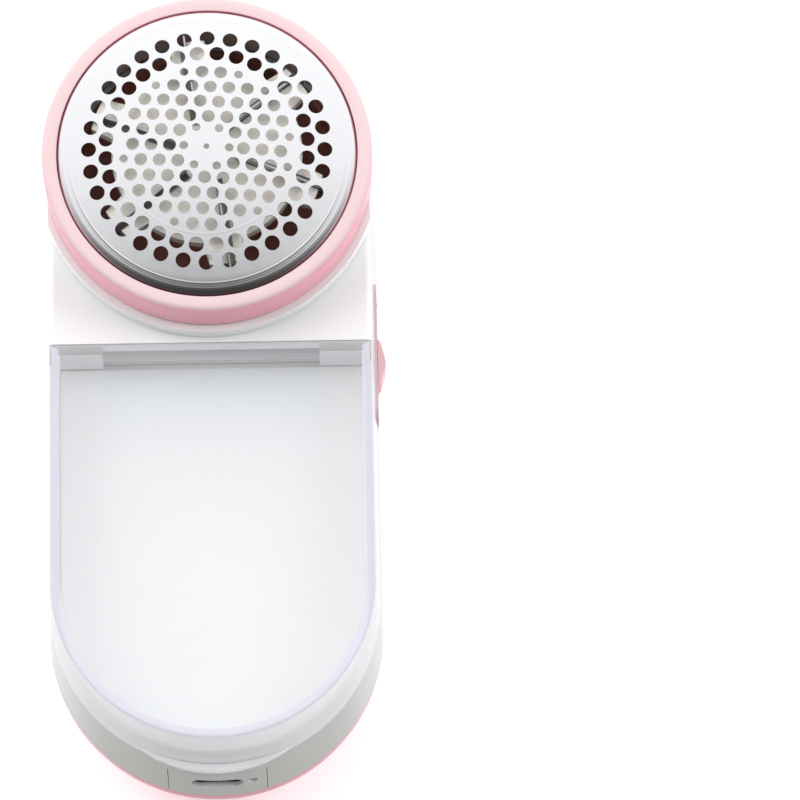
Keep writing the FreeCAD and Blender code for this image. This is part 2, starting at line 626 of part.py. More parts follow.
def motor_commutator():
    """Copper drum on the shaft, between the armature and the end cap."""
    drum = tube(SHAFT_RADIUS, 2.6, MOTOR_REAR_Z + 4.8, MOTOR_REAR_Z + 7.8)
    gaps = [turn(block(2.2, 4.0, -0.15, 0.15, 0, FAR), 120.0 * k + 60) for k in range(3)]
    return drum.cut(gaps).removeSplitter()


def motor_magnets():
    """Two ferrite arcs inside the can, one on each round side."""
    arcs = tube(ROTOR_RADIUS + 0.4, MOTOR_WIDTH / 2 - 1.0, MOTOR_REAR_Z + 6, MOTOR_FRONT_Z - 3)
    return arcs.common(block(-FAR, FAR, -5, 5, 0, FAR))


def motor_screws():
    screws = []
    for side in (-1, 1):
        x = side * MOTOR_SCREW_X
        head = disc(MOTOR_SCREW_HEAD, CHAMBER_FLOOR_Z - 1.2, CHAMBER_FLOOR_Z - 0.02, x, 0)
        shank = disc(MOTOR_SCREW_RADIUS - 0.02, MOTOR_FRONT_Z - 0.95, CHAMBER_FLOOR_Z - 1.2, x, 0)
        slot = block(x - 2, x + 2, -0.2, 0.2, CHAMBER_FLOOR_Z - 0.5, CHAMBER_FLOOR_Z + 1)
        screws.append(head.fuse(shank).cut(slot).removeSplitter())
    return Part.makeCompound(screws)


def shaft_seal():
    """Felt washer round the shaft, over the motor's boss."""
    return tube(SHAFT_RADIUS + RUNNING, 3.1, MOTOR_FRONT_Z + 1.4, MOTOR_FRONT_Z + 1.98)


def chamber_liner():
    """Dark cup that covers the motor's screws and lines the cutter chamber, open towards the throat."""
    outer = CHAMBER_RADIUS - FIT
    cup = disc(outer, CHAMBER_FLOOR_Z, SHELF_Z - 0.4)
    cup = cup.cut(disc(outer - 0.9, CHAMBER_FLOOR_Z + 1.2, FAR))
    throat = THROAT_HALF_WIDTH
    cup = cup.cut(block(-throat, throat, -FAR, -outer / 2, CHAMBER_FLOOR_Z + 1.2, THROAT_TOP_Z))
    return cup.cut(disc(SHAFT_RADIUS + 0.6, 0, FAR)).removeSplitter()


# ---------------------------------------------------------------- lint box
def lint_box():
    """Clear box, open at the back and in the middle of its head end, that slides off over the pad towards the tail."""
    low = SEAT_Z + 0.15
    space = block(-FAR, FAR, -FAR, BOX_TOP_Y - GAP / 2, low, FAR)
    shell = body_block(low, FRONT_Z, 0)
    rim = [e for e in shell.Edges if e.BoundBox.ZMin > FRONT_Z - 1e-6]
    shell = shell.makeFillet(FRONT_ROUNDING * 0.6, rim).common(space)
    inside = body_block(low - 1, FRONT_Z - BOX_WALL, BOX_WALL)
    shell = shell.cut(inside.common(block(-FAR, FAR, -FAR, BOX_TOP_Y - GAP / 2 - BOX_END_WALL, 0, FAR)))
    throat = block(-THROAT_HALF_WIDTH, THROAT_HALF_WIDTH, BOX_TOP_Y - 3, FAR, 0, FRONT_Z - BOX_WALL)
    foot = block(-FAR, FAR, BOX_TOP_Y - 3, FAR, 0, PAD_TOP_Z + 0.3)
    inner_x = side_x(SEAT_Z) - BOX_WALL
    foot = foot.common(block(-inner_x, inner_x, -FAR, FAR, 0, FAR))
    shell = shell.cut([throat, foot])
    ribs = []
    for side in (-1, 1):
        near = side * (inner_x - GROOVE_DEPTH)
        x0, x1 = sorted((near, side * (inner_x + 0.3)))
        ribs.append(block(x0, x1, TAIL_CENTRE_Y + 8, BOX_TOP_Y - 5, GROOVE_Z[0] + 0.15, GROOVE_Z[1] - 0.15))
    return shell.fuse([*ribs, lint_lip()]).removeSplitter()


def lint_lip():
    """Crescent ledge for a fingernail, along the back edge of the box's round end."""
    low = SEAT_Z + 0.15
    rise = (low - PARTING_Z) / (FRONT_Z - PARTING_Z)
    centre = TAIL_CENTRE_Y + TAIL_LEAN * rise
    wall = side_x(low)
    sag = wall - math.sqrt(wall**2 - LIP_HALF_WIDTH**2) + LIP_REACH
    radius = (LIP_HALF_WIDTH**2 + sag**2) / (2 * sag)
    tip = centre - wall - LIP_REACH
    high = low + LIP_THICKNESS
    crescent = disc(radius, low, high, 0, tip + radius)
    keep = block(-LIP_HALF_WIDTH, LIP_HALF_WIDTH, tip - 1, tip + sag + 0.2, low, high)
    return crescent.common(keep).cut(body_block(low - 1, low + 3, BOX_WALL / 2))


# ---------------------------------------------------------------- slide switch
def switch_x():
    """Front face of the switch's case, behind the side wall."""
    return side_x(SWITCH_Z) - 4.5


def rounded_plate(x0, x1, length, height, corner, y=SWITCH_Y):
    plate = block(x0, x1, y - length / 2, y + length / 2, SWITCH_Z - height / 2, SWITCH_Z + height / 2)
    corners = [e for e in plate.Edges if e.BoundBox.YLength < 1e-6 and e.BoundBox.ZLength < 1e-6]
    return plate.makeFillet(corner, corners)


def switch_recess():
    face = side_x(SWITCH_Z)
    return rounded_plate(face - PLATE_THICKNESS, face + 5, PLATE_LENGTH, PLATE_HEIGHT, 2.0)


def switch_window(grow):
    """The opening in the wall behind the plate, as long as the slider and its travel need."""
    face = side_x(SWITCH_Z)
    length = SLIDER_LENGTH + SWITCH_TRAVEL + 2 * SLIDING + 2.0
    return rounded_plate(face - 5, face, length + 2 * grow, PLATE_HEIGHT - 3.6 + 2 * grow, 1.0, SLIDER_Y)


def switch_plate():
    """Pink trim set into the right side, with a window for the slider and a raised dot at its head end."""
    face = side_x(SWITCH_Z)
    back, front = face - PLATE_THICKNESS, face + 0.12
    plate = rounded_plate(back, front, PLATE_LENGTH - GAP, PLATE_HEIGHT - GAP, 2.0)
    boss = switch_window(0).common(block(face - WALL, FAR, -FAR, FAR, 0, FAR))
    dot = Part.makeSphere(0.7, V(front - 0.45, SWITCH_Y + PLATE_LENGTH / 2 - 2.8, SWITCH_Z))
    dot = dot.common(block(back, FAR, -FAR, FAR, 0, FAR))
    length = SLIDER_LENGTH + SWITCH_TRAVEL + 2 * SLIDING
    window = rounded_plate(face - 5, face + 5, length, 5.0 + 2 * SLIDING, 0.8, SLIDER_Y)
    return plate.fuse([boss, dot]).cut(window).removeSplitter()


def switch_slider():
    """Pink thumb slider with one swept ridge, a stem through the plate and a fork that holds the switch's lever."""
    face = side_x(SWITCH_Z) + 0.12 + 0.08
    low_y = SLIDER_Y - SWITCH_TRAVEL / 2 - SLIDER_LENGTH / 2
    high_y = low_y + SLIDER_LENGTH
    profile = [
        (face, low_y + 1.6),
        (face + 0.55, low_y + 2.2),
        (face + 1.35, low_y + 4.9),
        (face + 1.45, low_y + 5.5),
        (face + 1.2, low_y + 6.8),
        (face + 0.6, high_y - 0.8),
        (face, high_y),
    ]
    thumb = prism(profile, SWITCH_Z - 3.6, SWITCH_Z + 3.6)
    stem = block(switch_x() + 0.4 + GAP, face + 0.01, low_y, high_y, SWITCH_Z - 2.5, SWITCH_Z + 2.5)
    return thumb.fuse(stem).cut(switch_lever_block(FIT)).removeSplitter()


def switch_lever_block(grow):
    x, y = switch_x(), SLIDER_Y - SWITCH_TRAVEL / 2
    half = 1.0 + grow
    return block(x - 1.2, x + 2.6 + grow, y - 1.5 - grow, y + 1.5 + grow, SWITCH_Z - half, SWITCH_Z + half)


def switch_body():
    """Slide switch proper: a small case with a slot for its lever."""
    x = switch_x()
    half = SLIDER_LENGTH / 2 + 1.2
    case = block(x - SWITCH_DEPTH, x, SLIDER_Y - half, SLIDER_Y + half, SWITCH_Z - 3.2, SWITCH_Z + 3.2)
    slot = 1.5 + SWITCH_TRAVEL / 2 + SLIDING
    return case.cut(block(x - 1.4, x + 1, SLIDER_Y - slot, SLIDER_Y + slot, SWITCH_Z - 1.2, SWITCH_Z + 1.2))


def switch_terminals():
    x = switch_x() - SWITCH_DEPTH
    ys = [SLIDER_Y + 4 * k for k in (-1, 0, 1)]
    return Part.makeCompound([block(x - 2.6, x, y - 0.6, y + 0.6, SWITCH_Z - 0.2, SWITCH_Z + 0.2) for y in ys])


def switch_bracket():
    """Flat steel bracket over the front of the switch, with an ear at each end."""
    x = switch_x()
    half = EAR_Y + 2.0
    frame = block(x, x + 0.4, SLIDER_Y - half, SLIDER_Y + half, SWITCH_Z - 3.2, SWITCH_Z + 3.2)
    slot = SLIDER_LENGTH / 2 + 0.2
    frame = frame.cut(block(x - 1, x + 1, SLIDER_Y - slot, SLIDER_Y + slot, SWITCH_Z - 2.6, SWITCH_Z + 2.6))
    holes = [
        Part.makeCylinder(0.7 + FIT, 2, V(x - 1, SLIDER_Y + side * EAR_Y, SWITCH_Z), V(1, 0, 0))
        for side in (-1, 1)
    ]
    return frame.cut(holes)


def switch_screws():
    """Two small screws through the bracket's ears, into the housing's bosses."""
    x = switch_x()
    screws = []
    for side in (-1, 1):
        at = V(x - 0.9, SLIDER_Y + side * EAR_Y, SWITCH_Z)
        head = Part.makeCylinder(1.3, 0.9, at, V(1, 0, 0))
        shank = Part.makeCylinder(0.7 - PRESS, 3.0, at, V(1, 0, 0))
        slot = block(x - 1.2, x - 0.5, at.y - 1, at.y + 1, SWITCH_Z - 0.15, SWITCH_Z + 0.15)
        screws.append(head.fuse(shank).cut(slot).removeSplitter())
    return Part.makeCompound(screws)


# ---------------------------------------------------------------- charging port, board and battery
def port_opening(grow):
    half = PORT_PANEL_HALF_WIDTH + grow
    return block(-half, half, -FAR, TAIL_CENTRE_Y - 10, PARTING_Z - 1, PORT_PANEL_TOP + grow)


def port_panel():
    """White insert in the tail wall, with the socket's mouth and a hole for the charging light."""
    wall = body_block(PARTING_Z, SEAT_Z, 0).cut(body_block(PARTING_Z - 1, SEAT_Z + 1, WALL))
    panel = wall.common(port_opening(0))
    mouth = round_slot(USB_WIDTH + 2 * FIT, USB_HEIGHT + 2 * FIT, -FAR, TAIL_CENTRE_Y, 0, PORT_Z)
    light = Part.makeCylinder(0.9 + 0.02, FAR, V(LED_X, -FAR, PORT_Z), V(0, 1, 0))
    return panel.cut([mouth, light]).removeSplitter()


def tail_y(x, z, inset=0.0):
    """Where the tail wall is, at a distance from the middle and a height."""
    rise = (z - PARTING_Z) / (FRONT_Z - PARTING_Z)
    radius = side_x(z) - inset
    return TAIL_CENTRE_Y + TAIL_LEAN * rise - math.sqrt(radius**2 - x**2)


def usb_shell():
    """Drawn steel shell of the USB-C socket, open at its mouth."""
    mouth = tail_y(USB_WIDTH / 2, PORT_Z) + 0.4
    shell = round_slot(USB_WIDTH, USB_HEIGHT, mouth, mouth + USB_DEPTH, 0, PORT_Z)
    hollow = round_slot(
        USB_WIDTH - 2 * USB_SHEET, USB_HEIGHT - 2 * USB_SHEET, mouth - 1, mouth + USB_DEPTH - 1.2, 0, PORT_Z
    )
    return shell.cut(hollow)


def usb_tongue():
    mouth = tail_y(USB_WIDTH / 2, PORT_Z) + 0.4
    return block(-3.35, 3.35, mouth + 1.4, mouth + USB_DEPTH - 1.2, PORT_Z - 0.35, PORT_Z + 0.35)


def circuit_board():
    edge = body_block(PARTING_Z - 2, SEAT_Z, WALL + 2 * SLIDING)
    mouth = tail_y(USB_WIDTH / 2, PORT_Z)
    low = BOARD_TOP_Z - BOARD_THICKNESS
    board = block(-BOARD_HALF_WIDTH, BOARD_HALF_WIDTH, mouth + 1.4, BOARD_INNER_Y, low, BOARD_TOP_Z).common(edge)
    return board.cut([disc(BOARD_SCREW_RADIUS + FIT, 0, FAR, x, y) for x, y in BOARD_POSTS])


def board_screws():
    z = BOARD_TOP_Z - BOARD_THICKNESS
    return Part.makeCompound(
        [
            pan_head_screw(x, y, z, BOARD_SCREW_HEAD, 1.2, BOARD_SCREW_RADIUS - PRESS, 6.0)
            for x, y in BOARD_POSTS
        ]
    )


def charge_chip():
    y = BOARD_INNER_Y - 8.05
    body = block(-2.5, 2.5, y - 1.95, y + 1.95, BOARD_TOP_Z + 0.1, BOARD_TOP_Z + 1.5)
    xs = [-1.905 + 1.27 * k for k in range(4)]
    pins = [block(x - 0.2, x + 0.2, y - 2.95, y + 2.95, BOARD_TOP_Z, BOARD_TOP_Z + 0.4) for x in xs]
    return body.fuse(pins).removeSplitter()


def board_capacitors():
    places = [(-6.5, BOARD_INNER_Y - 9.5), (6.5, BOARD_INNER_Y - 9.0), (-5.5, BOARD_INNER_Y - 14.0)]
    return Part.makeCompound(
        [block(x - 1, x + 1, y - 0.6, y + 0.6, BOARD_TOP_Z, BOARD_TOP_Z + 0.9) for x, y in places]
    )


def charge_led():
    y = tail_y(LED_X, PORT_Z, WALL) + 1.8
    return block(LED_X - 0.8, LED_X + 0.8, y, y + 0.9, BOARD_TOP_Z, PORT_Z + 0.6)


def light_pipe():
    """Clear rod from the board's light to the tail wall."""
    start = tail_y(LED_X, PORT_Z) + 0.35
    end = tail_y(LED_X, PORT_Z, WALL) + 1.8
    return Part.makeCylinder(0.9, end - start, V(LED_X, start, PORT_Z), V(0, 1, 0))


def battery_cell():
    """Cylindrical lithium cell with a rounded base and a raised cap at the head end."""
    body = Part.makeCylinder(CELL_RADIUS, CELL_LENGTH - 1.2, V(CELL_X, CELL_TAIL_Y, CELL_Z), V(0, 1, 0))
    ends = [e for e in body.Edges if e.BoundBox.YLength < 1e-6]
    body = body.makeFillet(0.5, ends)
    cap = Part.makeCylinder(2.9, 1.4, V(CELL_X, CELL_HEAD_Y - 1.4, CELL_Z), V(0, 1, 0))
    return body.fuse(cap).removeSplitter()


def battery_washer():
    """Paper insulator round the raised cap."""
    y = CELL_HEAD_Y - 1.2
    ring = Part.makeCylinder(CELL_RADIUS - 0.6, 0.3, V(CELL_X, y, CELL_Z), V(0, 1, 0))
    return ring.cut(Part.makeCylinder(3.0, 1, V(CELL_X, y - 0.2, CELL_Z), V(0, 1, 0)))


def battery_tab(end_y, direction):
    """Nickel strip welded to one end of the battery and bent up beside it."""
    y0, y1 = sorted((end_y, end_y + direction * 0.2))
    return block(CELL_X - 2.0, CELL_X + 2.0, y0, y1, CELL_Z - 2.0, CELL_Z + 5.5)


# ---------------------------------------------------------------- wiring
def wire_path(points):
    """A smooth path along straight runs: each corner is an arc as large as its two runs allow."""
    edges = []
    corner_start = V(*points[0])
    for before, corner, after in zip(points, points[1:], points[2:]):
        a, b, c = V(*before), V(*corner), V(*after)
        back, ahead = (a - b).normalize(), (c - b).normalize()
        half_turn = (math.pi - back.getAngle(ahead)) / 2
        reach = 0.45 * min((a - b).Length, (c - b).Length)
        radius = reach / math.tan(half_turn)
        start, end = b + back * reach, b + ahead * reach
        middle = (back + ahead).normalize()
        centre = b + middle * math.hypot(radius, reach)
        edges.append(Part.LineSegment(corner_start, start).toShape())
        edges.append(Part.Arc(start, centre - middle * radius, end).toShape())
        corner_start = end
    edges.append(Part.LineSegment(corner_start, V(*points[-1])).toShape())
    return Part.Wire(edges)


def wire(points):
    path = wire_path(points)
    first = V(*points[1]) - V(*points[0])
    section = Part.Wire(Part.makeCircle(WIRE_RADIUS, V(*points[0]), first))
    lead = path.makePipeShell([section], True, False)
    expected = path.Length * math.pi * WIRE_RADIUS**2
    print("wire", round(path.Length, 1), "mm, volume share", round(lead.Volume / expected, 3))
    return lead


def wires():
    """The leads' routes. Those on the board end at its inner edge, and those on the switch come up to its tags."""
    board_z = BOARD_TOP_Z - BOARD_THICKNESS / 2
    tag_x = switch_x() - SWITCH_DEPTH - 1.3
    tag_z = SWITCH_Z - 0.2
    tail_y = CELL_TAIL_Y - 0.2
    head_y = CELL_HEAD_Y + 0.2
    motor_x, motor_y, motor_z = 7.6, -1.05, MOTOR_REAR_Z - 0.75
    beside = CELL_X - CELL_RADIUS
    live_y, out_y = SLIDER_Y, SLIDER_Y - 4
    return {
        "battery_lead_black": [(CELL_X, tail_y, board_z), (CELL_X, BOARD_INNER_Y, board_z)],
        "battery_lead_red": [
            (CELL_X, head_y, 16.2),
            (-5.0, -19.0, 16.2),
            (2.5, -17.5, 17.0),
            (7.2, -24.0, 16.5),
            (8.0, -36.0, 15.5),
            (7.5, -52.0, 14.5),
            (8.2, -66.0, 15.5),
            (7.0, -75.0, board_z),
            (7.0, BOARD_INNER_Y, board_z),
        ],
        "switch_lead": [
            (10.5, BOARD_INNER_Y, board_z),
            (10.5, -73.0, board_z),
            (11.0, -61.0, 13.5),
            (13.0, -48.0, 11.0),
            (16.5, -38.5, 11.5),
            (tag_x, out_y, 16.0),
            (tag_x, out_y, tag_z),
        ],
        "motor_lead_red": [
            (motor_x, motor_y, motor_z),
            (7.6, -12.0, motor_z),
            (10.5, -19.5, 5.5),
            (16.5, -26.5, 10.0),
            (tag_x, live_y, 16.0),
            (tag_x, live_y, tag_z),
        ],
        "motor_lead_black": [
            (-motor_x, motor_y, motor_z),
            (-7.6, -12.0, motor_z),
            (-12.5, -19.0, 6.5),
            (beside - 3.4, -31.0, 14.5),
            (beside - 3.1, -46.0, 17.5),
            (beside - 1.4, -60.0, 17.2),
            (beside - 1.0, -72.0, board_z),
            (-12.3, BOARD_INNER_Y + 2.5, board_z),
            (-12.3, BOARD_INNER_Y, board_z),
        ],
    }


# ---------------------------------------------------------------- all pieces
def pieces():
    made = {
        "front_housing": front_housing(),
        "back_housing": back_housing(),
        "housing_screws": housing_screws(),
        "head_ring": head_ring(),
        "foil_plate": foil_plate(),
        "foil_carrier": foil_carrier(),
        "ring_seal": ring_seal(),
        "cutter_carrier": cutter_carrier(),
        "carrier_spring": carrier_spring(),
        "drive_hub": drive_hub(),
        "motor_shaft": motor_shaft(),
        "motor_rotor": motor_rotor(),
        "motor_commutator": motor_commutator(),
        "motor_magnets": motor_magnets(),
        "motor_can": motor_can(),
        "motor_end_cap": motor_end_cap(),
        "motor_terminal_left": motor_terminal(-1),
        "motor_terminal_right": motor_terminal(1),
        "motor_screws": motor_screws(),
        "shaft_seal": shaft_seal(),
        "chamber_liner": chamber_liner(),
        "lint_box": lint_box(),
        "switch_plate": switch_plate(),
        "switch_slider": switch_slider(),
        "switch_lever": switch_lever_block(0),
        "switch_body": switch_body(),
        "switch_terminals": switch_terminals(),
        "switch_bracket": switch_bracket(),
        "switch_screws": switch_screws(),
        "port_panel": port_panel(),
        "usb_shell": usb_shell(),
        "usb_tongue": usb_tongue(),
        "circuit_board": circuit_board(),
        "board_screws": board_screws(),
        "charge_chip": charge_chip(),
        "board_capacitors": board_capacitors(),
        "charge_led": charge_led(),
        "light_pipe": light_pipe(),
        "battery_cell": battery_cell(),
        "battery_washer": battery_washer(),
        "battery_tab_plus": battery_tab(CELL_HEAD_Y, 1),
        "battery_tab_minus": battery_tab(CELL_TAIL_Y, -1),
    }
    for k in range(BLADES):
        made[f"cutter_blade_{k + 1}"] = cutter_blade(k)
    for name, points in wires().items():
        made[name] = wire(points)
    return made


os.makedirs("parts", exist_ok=True)
for name, shape in pieces().items():
    shape.translate(V(0, HEAD_Y, 0))
    if not shape.isValid() or shape.Volume <= 0:
        print("CHECK", name, shape.isValid(), shape.Volume)
    shape.exportStep(f"parts/{name}.step")
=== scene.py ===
import bmesh
import bpy
import math
from mathutils import Euler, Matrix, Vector


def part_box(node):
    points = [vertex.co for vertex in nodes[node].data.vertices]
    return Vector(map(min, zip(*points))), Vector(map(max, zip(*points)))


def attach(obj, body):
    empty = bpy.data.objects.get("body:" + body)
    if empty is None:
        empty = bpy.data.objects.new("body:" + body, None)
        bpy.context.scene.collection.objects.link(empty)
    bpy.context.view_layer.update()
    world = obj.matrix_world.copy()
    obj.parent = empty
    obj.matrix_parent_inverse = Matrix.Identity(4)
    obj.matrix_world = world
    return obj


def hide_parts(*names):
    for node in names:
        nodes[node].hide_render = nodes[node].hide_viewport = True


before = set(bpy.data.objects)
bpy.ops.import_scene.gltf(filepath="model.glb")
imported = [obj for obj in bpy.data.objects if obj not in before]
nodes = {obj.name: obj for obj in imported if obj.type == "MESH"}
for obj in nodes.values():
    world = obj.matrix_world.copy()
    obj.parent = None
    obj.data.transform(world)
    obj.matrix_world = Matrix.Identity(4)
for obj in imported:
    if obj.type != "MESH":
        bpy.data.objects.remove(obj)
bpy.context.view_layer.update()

# ------------------------------------------------------------------ the table top, the light and the camera
# The shaver lies on its back on a plain pale table top. Two large soft boxes and a bright ceiling light it
# evenly, and the camera stands high over its tail end with a long lens.
foil_low, foil_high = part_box("foil_plate")
foil_half = (foil_high.x - foil_low.x) * 500
head_y = (foil_low.y + foil_high.y) / 2
foil_dome_rise = 0.00183
foil_rim_z = foil_high.z - foil_dome_rise
eye_right, eye_back, eye_up = 0.020706, 0.338520, 0.999680
eye_turn = (16.29633, -0.38703, -1.10119)

eye = bpy.data.objects.new("camera", bpy.data.cameras.new("camera"))
eye.data.lens, eye.data.sensor_width = 270.0, 36.0
eye.data.clip_start, eye.data.clip_end = 0.05, 50.0
eye.location = (eye_right, head_y - eye_back, foil_rim_z + eye_up)
eye.rotation_euler = Euler([math.radians(a) for a in eye_turn])
bpy.context.scene.collection.objects.link(eye)
bpy.context.scene.camera = eye
bpy.context.scene.view_settings.view_transform = "Standard"


def soft_box(name, place, aim, size, watts, tint):
    """A large matt light that shows in no mirror, so the foil reflects the room alone."""
    light = bpy.data.objects.new(name, bpy.data.lights.new(name, "AREA"))
    light.data.shape, light.data.size, light.data.size_y = "RECTANGLE", size[0], size[1]
    light.data.energy, light.data.color = watts, tint
    light.location = place
    light.visible_glossy = False
    light.rotation_euler = (Vector(aim) - Vector(place)).to_track_quat("-Z", "Y").to_euler()
    bpy.context.scene.collection.objects.link(light)


above_table = (0, 0, 0.02)
soft_box("soft_box_left", (-0.82, 0.20, 0.85), above_table, (0.7, 0.9), 6.8, (1.0, 0.995, 0.985))
soft_box("soft_box_right", (0.85, 0.05, 0.72), above_table, (0.5, 0.8), 5.2, (0.985, 0.99, 1.0))

# The room is bright beyond the head and overhead, and dim on the side where the camera stands.
room = bpy.data.worlds.new("white_room")
bpy.context.scene.world = room
room.use_nodes = True
sky = room.node_tree
way = sky.nodes.new("ShaderNodeTexCoord")
split = sky.nodes.new("ShaderNodeSeparateXYZ")
spread = sky.nodes.new("ShaderNodeMapRange")
spread.inputs["From Min"].default_value, spread.inputs["From Max"].default_value = -1.0, 1.0
fade = sky.nodes.new("ShaderNodeValToRGB")
fade.color_ramp.elements[0].position, fade.color_ramp.elements[0].color = 0.0, (0.20, 0.20, 0.20, 1)
fade.color_ramp.elements[1].position, fade.color_ramp.elements[1].color = 1.0, (1.0, 1.0, 1.0, 1)
for bearing, grey in ((0.27, 0.20), (0.43, 0.34), (0.53, 0.64), (0.64, 0.84)):
    fade.color_ramp.elements.new(bearing).color = (grey, grey, grey * 1.01, 1)
sky.links.new(way.outputs["Generated"], split.inputs[0])
sky.links.new(split.outputs["Y"], spread.inputs["Value"])
sky.links.new(spread.outputs["Result"], fade.inputs[0])
sky.links.new(fade.outputs[0], sky.nodes["Background"].inputs["Color"])
sky.nodes["Background"].inputs["Strength"].default_value = 1.28

table_mesh = bmesh.new()
bmesh.ops.create_grid(table_mesh, x_segments=24, y_segments=24, size=3.0)
table = bpy.data.objects.new("table_top", bpy.data.meshes.new("table_top"))
table_mesh.to_mesh(table.data)
table_mesh.free()
bpy.context.scene.collection.objects.link(table)
table.visible_glossy = False


def finish_of(name):
    """A new finish, with its tree and its main shader."""
    made = bpy.data.materials.new(name)
    made.use_nodes = True
    return made, made.node_tree, made.node_tree.nodes["Principled BSDF"]


def grain(tree, scale, detail=3.0, stretch=(1, 1, 1)):
    """Fine mottling fixed to the piece, at so many grains to the metre."""
    place = tree.nodes.new("ShaderNodeTexCoord")
    lay = tree.nodes.new("ShaderNodeMapping")
    lay.inputs["Scale"].default_value = stretch
    mottle = tree.nodes.new("ShaderNodeTexNoise")
    mottle.inputs["Scale"].default_value = scale
    mottle.inputs["Detail"].default_value = detail
    tree.links.new(place.outputs["Object"], lay.inputs["Vector"])
    tree.links.new(lay.outputs["Vector"], mottle.inputs["Vector"])
    return mottle.outputs["Fac"]


def between(tree, signal, low, high):
    """The signal, from its usual range, as a number from low to high."""
    scale = tree.nodes.new("ShaderNodeMapRange")
    scale.inputs["From Min"].default_value, scale.inputs["From Max"].default_value = 0.3, 0.7
    scale.inputs["To Min"].default_value, scale.inputs["To Max"].default_value = low, high
    tree.links.new(signal, scale.inputs["Value"])
    return scale.outputs["Result"]


def two_tone(tree, signal, colour, shade):
    """The signal as a colour that runs from the shade to the full colour."""
    ramp = tree.nodes.new("ShaderNodeValToRGB")
    ramp.color_ramp.elements[0].position, ramp.color_ramp.elements[0].color = 0.3, (*shade, 1)
    ramp.color_ramp.elements[1].position, ramp.color_ramp.elements[1].color = 0.7, (*colour, 1)
    tree.links.new(signal, ramp.inputs["Fac"])
    return ramp.outputs["Color"]


def raise_grain(tree, shader, signal, height):
    """Raises the surface by the signal, to that height in metres."""
    bump = tree.nodes.new("ShaderNodeBump")
    bump.inputs["Distance"].default_value = height
    bump.inputs["Strength"].default_value = 1.0
    tree.links.new(signal, bump.inputs["Height"])
    tree.links.new(bump.outputs["Normal"], shader.inputs["Normal"])


def painted_upright_shade(tree, colour, side):
    """Painted shade: the colour as it is on faces that look up, running into a deeper, darker painted shade
    on upright faces.
    """
    lie = tree.nodes.new("ShaderNodeTexCoord")
    parts = tree.nodes.new("ShaderNodeSeparateXYZ")
    turn = tree.nodes.new("ShaderNodeMapRange")
    turn.interpolation_type = "SMOOTHSTEP"
    turn.inputs["From Min"].default_value, turn.inputs["From Max"].default_value = 0.0, 0.85
    mix = tree.nodes.new("ShaderNodeMix")
    mix.data_type = "RGBA"
    mix.inputs[6].default_value = (*side, 1)
    tree.links.new(lie.outputs["Normal"], parts.inputs[0])
    tree.links.new(parts.outputs["Z"], turn.inputs["Value"])
    tree.links.new(turn.outputs["Result"], mix.inputs[0])
    tree.links.new(colour, mix.inputs[7])
    return mix.outputs[2]


def moulded(name, colour, shade, rough, texture=0.000004, coat=0.0, side=None, uneven=0.2):
    """Moulded plastic: slight flow marks in the colour, a faint texture, gloss that varies a little, and
    painted shade on upright faces where a side colour is given.
    """
    made, tree, shader = finish_of(name)
    tone = two_tone(tree, grain(tree, 55.0), colour, shade)
    if side:
        tone = painted_upright_shade(tree, tone, side)
    tree.links.new(tone, shader.inputs["Base Color"])
    gloss = between(tree, grain(tree, 160.0, 1.0), rough * (1 - uneven), rough * (1 + uneven))
    tree.links.new(gloss, shader.inputs["Roughness"])
    raise_grain(tree, shader, grain(tree, 2600.0), texture)
    shader.inputs["IOR"].default_value = 1.5
    shader.inputs["Coat Weight"].default_value = coat
    shader.inputs["Coat Roughness"].default_value = 0.08
    return made


table_paint = moulded("pale_table", (0.97, 0.97, 0.972), (0.96, 0.96, 0.962), 0.7, 0.00001)
shader = table_paint.node_tree.nodes["Principled BSDF"]
shader.inputs["Emission Color"].default_value = (1, 1, 1, 1)
shader.inputs["Emission Strength"].default_value = 0.30
table.data.materials.append(table_paint)

# ------------------------------------------------------------------ back cover
# Pink moulded tray with one large rounding down to the flat back. Four long screws hold it to the front
# shell.
def finish_nodes(finish, *names):
    for name in names:
        nodes[name].material_slots[0].material = finish


def metal(name, colour, shade, rough, scale=1800.0, stretch=(1, 1, 1), height=0.000003, lean=0.0):
    """Bare or plated metal, with fine lines or grain from how it was made."""
    made, tree, shader = finish_of(name)
    lines = grain(tree, scale, 4.0, stretch)
    tree.links.new(two_tone(tree, lines, colour, shade), shader.inputs["Base Color"])
    tree.links.new(between(tree, lines, rough * 0.7, rough * 1.35), shader.inputs["Roughness"])
    raise_grain(tree, shader, lines, height)
    shader.inputs["Metallic"].default_value = 1.0
    shader.inputs["Anisotropic"].default_value = lean
    return made


# The deeper rose given for upright faces is painted shade.
pink = moulded(
    "pink_plastic",
    (0.77, 0.575, 0.59),
    (0.76, 0.565, 0.58),
    rough=0.3,
    texture=0.0000004,
    coat=0.3,
    side=(0.88, 0.33, 0.42),
    uneven=0.04,
)
finish_nodes(pink, "back_housing")
plain_steel = metal("plain_steel", (0.60, 0.61, 0.62), (0.46, 0.47, 0.48), 0.28, 2400.0, (1, 1, 0.1))
finish_nodes(plain_steel, "housing_screws")

# ------------------------------------------------------------------ motor
# Small flat-sided motor: a plated can, a black end cap with brass tabs, a laminated rotor and ferrite
# magnets.
plated = metal("plated_steel", (0.72, 0.71, 0.69), (0.60, 0.59, 0.57), 0.2, 900.0, (1, 1, 0.05), lean=0.3)
brass = metal("brass", (0.78, 0.56, 0.24), (0.62, 0.42, 0.16), 0.3, 1500.0)
copper = metal("copper", (0.80, 0.44, 0.28), (0.62, 0.30, 0.18), 0.28, 1500.0, (0.1, 0.1, 1))
ferrite = moulded("ferrite", (0.05, 0.05, 0.055), (0.03, 0.03, 0.033), 0.6, 0.00002)
black_cap = moulded("black_moulding", (0.035, 0.035, 0.037), (0.02, 0.02, 0.021), 0.45, 0.000012)
laminated = metal(
    "rotor_stack", (0.40, 0.40, 0.41), (0.22, 0.22, 0.23), 0.4, 3000.0,
    stretch=(0.02, 0.02, 1), height=0.00002,
)
finish_nodes(plated, "motor_can")
